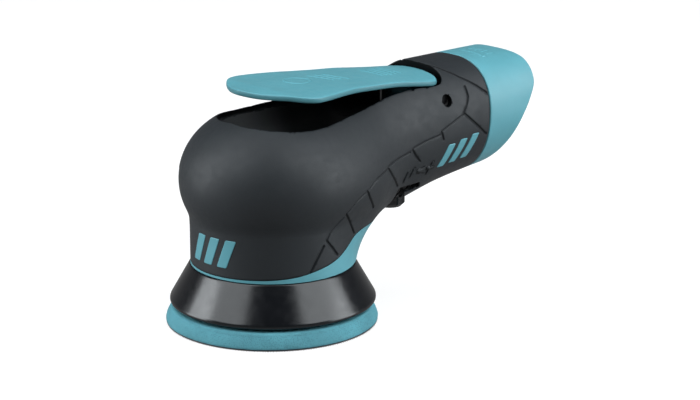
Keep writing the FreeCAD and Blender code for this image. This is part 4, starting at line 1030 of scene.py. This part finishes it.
def foam_surface():
    """Open-cell foam: pores of two sizes, with painted shade inside them."""
    material = moulded("foam", (0.1, 0.34, 0.41), 0.85, 1500.0, 0.05, 0.12)
    tree = material.node_tree
    shader = tree.nodes["Principled BSDF"]
    place = tree.nodes.new("ShaderNodeTexCoord").outputs["Object"]
    cells = tree.nodes.new("ShaderNodeTexVoronoi")
    cells.inputs["Scale"].default_value = 1900.0
    link(tree, place, cells.inputs["Vector"])
    pore = ranged(tree, cells.outputs["Distance"], 0.1, 0.45, 0.0, 1.0)
    old = shader.inputs["Base Color"].links[0].from_socket
    # painted shade in the pores
    link(tree, mixed(tree, pore, (0.055, 0.19, 0.23), old), shader.inputs["Base Color"])
    under = shader.inputs["Normal"].links[0].from_socket
    link(tree, bumped(tree, pore, 0.7, 0.12, under), shader.inputs["Normal"])
    return material


def felt_surface():
    """Pressed wool felt: tangled fibres."""
    return moulded("felt", (0.5, 0.49, 0.45), 0.95, 900.0, 0.12, 0.15, stretch=(1.0, 0.25, 1.0))


SURFACES = {
    "teal_plastic": moulded("teal_plastic", (0.125, 0.4, 0.47), 0.42, 2400.0, 0.02, 0.05, painted_shade=True),
    "grip_rubber": moulded("grip_rubber", (0.023, 0.027, 0.031), 0.52, 2200.0, 0.03, 0.07,
                           specular=0.38, painted_shade=True),
    # a paler copy of the grip rubber for the recess floor: painted light
    "recess_floor_painted_light": moulded("recess_floor_painted_light", (0.115, 0.118, 0.122), 0.6, 2200.0, 0.03, 0.07,
                            specular=0.3, painted_shade=True),
    "inner_shell": moulded("inner_shell", (0.008, 0.008, 0.009), 0.7, 2000.0, 0.02, 0.1),
    "black_plastic": moulded("black_plastic", (0.003, 0.004, 0.006), 0.22, 2000.0, 0.008, 0.1, 0.05,
                             specular=0.65),
    "foam": foam_surface(),
    "hook": moulded("hook", (0.03, 0.034, 0.04), 0.6, 1800.0, 0.05, 0.2),
    "fibreboard": moulded("fibreboard", (0.1, 0.1, 0.085), 0.5, 1400.0, 0.03, 0.15, stretch=(1.0, 6.0, 1.0)),
    "steel": moulded("steel", (0.5, 0.51, 0.53), 0.34, 900.0, 0.012, 0.05, 0.08, 1.0,
                     stretch=(1.0, 1.0, 9.0)),
    "bearing_steel": moulded("bearing_steel", (0.68, 0.69, 0.71), 0.14, 1600.0, 0.004, 0.03, 0.04, 1.0),
    "zinc_steel": moulded("zinc_steel", (0.6, 0.61, 0.62), 0.28, 700.0, 0.02, 0.06, 0.08, 1.0),
    "black_oxide": moulded("black_oxide", (0.012, 0.012, 0.013), 0.5, 1500.0, 0.01, 0.1, 0.06, 0.9),
    "polished_rod": moulded("polished_rod", (0.42, 0.4, 0.39), 0.1, 1600.0, 0.003, 0.04, 0.03, 1.0),
    "brass": moulded("brass", (0.68, 0.46, 0.2), 0.26, 1100.0, 0.01, 0.06, 0.08, 1.0,
                     stretch=(1.0, 1.0, 8.0)),
    "aluminium": moulded("aluminium", (0.64, 0.65, 0.67), 0.36, 1300.0, 0.012, 0.05, 0.08, 1.0,
                         stretch=(1.0, 1.0, 8.0)),
    "nitrile": moulded("nitrile", (0.016, 0.016, 0.017), 0.45, 1500.0, 0.01, 0.2),
    "felt": felt_surface(),
    "phenolic": moulded("phenolic", (0.27, 0.15, 0.07), 0.5, 1700.0, 0.03, 0.18, stretch=(1.0, 5.0, 1.0)),
}


# ------------------------ the model
def dress(obj, slot):
    """One procedural surface on an object."""
    obj.data.materials.clear()
    obj.data.materials.append(SURFACES[slot])


def paint_shade(obj, values):
    """How much painted shade each vertex takes, as an attribute."""
    attribute = obj.data.attributes.new("painted_shade", "FLOAT", "POINT")
    attribute.data.foreach_set("value", values.astype(np.float32))


def placed(obj, body, slot, *nodes):
    """A finished piece: material, body, slot and the CAD nodes it stands for."""
    dress(obj, slot)
    return attach(obj, body, slot, *nodes)


def vertex_points(obj):
    """Vertex places in millimetres."""
    flat = np.empty(len(obj.data.vertices) * 3)
    obj.data.vertices.foreach_get("co", flat)
    return flat.reshape(-1, 3) / MM


# RECESS_LIP: depth below the skin of the painted shadow band under the recess rim, below which the floor takes
# its paler copy
RECESS_LIP = 2.6
PANEL_TOP_Z = 46.0
RECESS_SHADE = 0.0
EDGE_SHADE = 0.4


def grip_piece():
    """The rubber grip, with painted shade in its grooves, round its marks, on the sunk underside, in the recess
    and in the pin hole.
    """
    obj = field_object("rubber_grip", grip_body, (-42.0, -40.0, 23.0), (106.0, 40.0, 101.0), 0.8,
                       near_grip_detail, 2)
    x, y, z = vertex_points(obj).T
    grooves = path_distance(x, y, z, GROOVE_SEGMENTS, GROOVE_REACH)
    steps = path_distance(x, y, z, STEP_SEGMENTS, GROOVE_REACH)
    # painted shade along the grooves and, lighter, along the steps
    dark = np.maximum(eased(1.15 - grooves / 0.75), 0.75 * eased(1.0 - steps / 0.75))
    marks = setting_marks(x, z)
    # painted shade in a band round the edges of the setting marks
    mark_edge_shade = 0.9 * eased(1 - np.abs(marks - 0.35) / 0.5) * (np.abs(y) > SIDE_Y)
    depth = -grip_depth(x, y, z)
    # painted shade in the recess: the band within RECESS_LIP of the skin is painted shadow under the rim, and the
    # rest darkens towards the rear as painted shadow of the lever
    inside = (recess_void(x, y, z) < 0.6) & (z > 70) & (depth > 0.3)
    lip = eased((RECESS_LIP - depth) / 0.5)
    recess = inside * np.maximum(lip, RECESS_SHADE + (1 - RECESS_SHADE) * eased((x + 1) / 28))
    # painted shade in the pin hole; the sunk underside takes painted shade as well
    pin = np.hypot(x - PIN_X, z - PIN_Z) < PIN_HOLE_R + 0.2
    paint_shade(obj, np.max([dark, mark_edge_shade, sunk_underside(x, y, z), recess, pin], 0))
    return obj


def paint_light_on_floor(grip):
    """The recess's front floor takes a paler copy of the rubber: painted light where the floor is lit."""
    x, y, z = vertex_points(grip).T
    floor = (recess_void(x, y, z) < 0.6) & (z > 70) & (grip_depth(x, y, z) < -RECESS_LIP)
    grip.data.materials.append(SURFACES["recess_floor_painted_light"])
    for polygon in grip.data.polygons:
        polygon.material_index = 1 if all(floor[i] for i in polygon.vertices) else 0


def spring_piece():
    """The valve's spring, a copy of its CAD node riding on the housing."""
    node = frame["nodes"]["valve_spring"]
    mesh = node.data.copy()
    mesh.transform(node.matrix_world)
    obj = bpy.data.objects.new("closing_spring", mesh)
    bpy.context.scene.collection.objects.link(obj)
    placed(obj, "housing", "steel", "valve_spring")
    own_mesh(obj)


def lever_piece():
    """The palm lever, with painted shade in a band round its edge and painted shadow, near black, on the cheeks
    and hub under its plate.
    """
    obj = field_object("palm_lever", lever_body, (-22.0, -28.0, 78.0), (85.0, 28.0, 106.0), 0.7,
                       near_lever_detail, 1)
    x, y, z = vertex_points(obj).T
    down = lever_top(x, y) - z
    # painted shade: a band down the plate's edge, and full painted shadow below the plate
    paint_shade(obj, np.maximum(EDGE_SHADE * eased((down - 0.25) / 0.5), eased((down - LEVER_T + 0.2) / 0.3)))
    return obj


paint_light_on_floor(placed(grip_piece(), "housing", "grip_rubber", "grip_overmold"))
spring_piece()
placed(lever_piece(), "lever", "teal_plastic", "throttle_lever")
placed(field_object("rear_cap", cap_body, (102.0, -27.0, 40.0), (134.0, 27.0, 101.0), 0.6,
                    near_cap_detail, 1), "housing", "teal_plastic", "exhaust_cap")
placed(field_object("inlet_fitting", inlet_body, (97.0, -11.5, 55.5), (128.0, 11.5, 78.5), 0.3),
       "housing", "steel", "inlet_bushing")
for side, name in ((-1, "side_bars_near"), (1, "side_bars_far")):
    low = min(side * 14.0, side * 27.0)
    high = max(side * 14.0, side * 27.0)
    placed(field_object(name, inlay(side_bars), (70.0, low, 50.0), (101.0, high, 72.0), 0.3),
           "housing", "teal_plastic")
placed(field_object("front_bars", inlay(front_bars), (-36.5, -20.0, 27.0), (-24.0, 20.0, 45.0), 0.3),
       "housing", "teal_plastic")
placed(shroud_piece(), "housing", "black_plastic", "shroud")
placed(foam_piece(), "pad", "foam", "pad_foam")
placed(hook_piece(), "pad", "hook", "pad_hook_face")

for part in frame["record"]["subparts"]:
    node = frame["nodes"].get(part["node"])
    if node is not None:
        dress(node, part["material_slot"])


def darkened_inside(node):
    """Housing faces under the rubber and in the passages take the dark inner surface."""
    points = vertex_points(node)
    shallow = grip_depth(*points.T) > -0.8
    outside = shallow & (points[:, 2] < PANEL_TOP_Z)
    node.data.materials.append(SURFACES["inner_shell"])
    for polygon in node.data.polygons:
        polygon.material_index = 0 if all(outside[i] for i in polygon.vertices) else 1


darkened_inside(frame["nodes"]["housing"])
frame["nodes"]["valve_stem"].data.materials[0] = SURFACES["polished_rod"]


# ------------------------ stage
CAMERA_AZIMUTH = math.radians(-42.0)
CAMERA_RISE = math.radians(15.763)
CAMERA_AWAY = 1.0
CAMERA_TARGET = Vector((0.043542, 0.0, 0.042458))
CAMERA_LENS = 119.83
COOL_WHITE = (0.92, 0.97, 1.0)
SOFT_BOXES = (
    ("left_box", -106.0, 43.0, 1.2, (1.15, 0.9), 8.5),      # name, azimuth, rise, distance, size, watts
    ("right_box", 24.0, 43.0, 1.2, (1.15, 0.9), 9.8),
    ("top_box", -40.0, 85.0, 1.3, (1.2, 1.2), 4.8),
    ("left_low", -130.0, 10.0, 1.2, (0.6, 0.7), 6.4),
    ("right_low", 42.0, 8.0, 1.2, (0.7, 0.7), 6.4),
)


def pale_stage(obj, name, glow, base):
    """A pale surface that the camera sees and that throws no light on the object."""
    obj.name = name
    material = moulded(name, (base, base, base), 0.8, 300.0, 0.0, 0.002, 0.02)
    shader = material.node_tree.nodes["Principled BSDF"]
    shader.inputs["Specular IOR Level"].default_value = 0.0
    shader.inputs["Emission Color"].default_value = (1.0, 1.0, 1.0, 1.0)
    shader.inputs["Emission Strength"].default_value = glow
    obj.data.materials.append(material)
    obj.visible_diffuse = False
    obj.visible_glossy = False
    obj.visible_shadow = False


def room():
    """Plain pale floor in a plain pale room."""
    bpy.ops.mesh.primitive_plane_add(size=12.0, location=(0, 0, 0))
    pale_stage(bpy.context.object, "floor", 0.82, 0.3)
    bpy.ops.mesh.primitive_uv_sphere_add(segments=64, ring_count=32, radius=4.5)
    pale_stage(bpy.context.object, "backdrop", 1.0, 0.0)


def area_light(name, azimuth, rise, away, size, watts):
    """Soft box aimed at the object."""
    light = bpy.data.lights.new(name, "AREA")
    light.shape = "RECTANGLE"
    light.size, light.size_y = size
    light.energy = watts
    light.color = COOL_WHITE
    obj = bpy.data.objects.new(name, light)
    a, e = math.radians(azimuth), math.radians(rise)
    back = Vector((math.sin(a) * math.cos(e), -math.cos(a) * math.cos(e), math.sin(e)))
    obj.location = CAMERA_TARGET + back * away
    obj.rotation_mode = "QUATERNION"
    obj.rotation_quaternion = (-back).to_track_quat("-Z", "Y")
    obj.visible_camera = False
    bpy.context.scene.collection.objects.link(obj)


def surround():
    """Dim fill light from all round, weaker from below."""
    world = bpy.data.worlds.new("surround")
    world.use_nodes = True
    tree = world.node_tree
    split = tree.nodes.new("ShaderNodeSeparateXYZ")
    link(tree, tree.nodes.new("ShaderNodeTexCoord").outputs["Generated"], split.inputs["Vector"])
    strength = ranged(tree, split.outputs["Z"], -0.3, 0.3, 0.3, 0.06)
    link(tree, strength, tree.nodes["Background"].inputs["Strength"])
    tree.nodes["Background"].inputs["Color"].default_value = (1.0, 1.0, 1.0, 1.0)
    bpy.context.scene.world = world


def studio():
    """Camera at the object's three-quarter front, and soft boxes."""
    camera = bpy.data.cameras.new("camera")
    camera.lens = CAMERA_LENS
    camera.sensor_width = 36.0
    camera.clip_start = 0.05
    camera.clip_end = 50.0
    obj = bpy.data.objects.new("camera", camera)
    a, e = CAMERA_AZIMUTH, CAMERA_RISE
    back = Vector((math.sin(a) * math.cos(e), -math.cos(a) * math.cos(e), math.sin(e)))
    obj.location = CAMERA_TARGET + back * CAMERA_AWAY
    obj.rotation_mode = "QUATERNION"
    obj.rotation_quaternion = (-back).to_track_quat("-Z", "Y")
    bpy.context.scene.collection.objects.link(obj)
    bpy.context.scene.camera = obj
    for box in SOFT_BOXES:
        area_light(*box)
    bpy.context.scene.view_settings.view_transform = "Standard"


room()
surround()
studio()
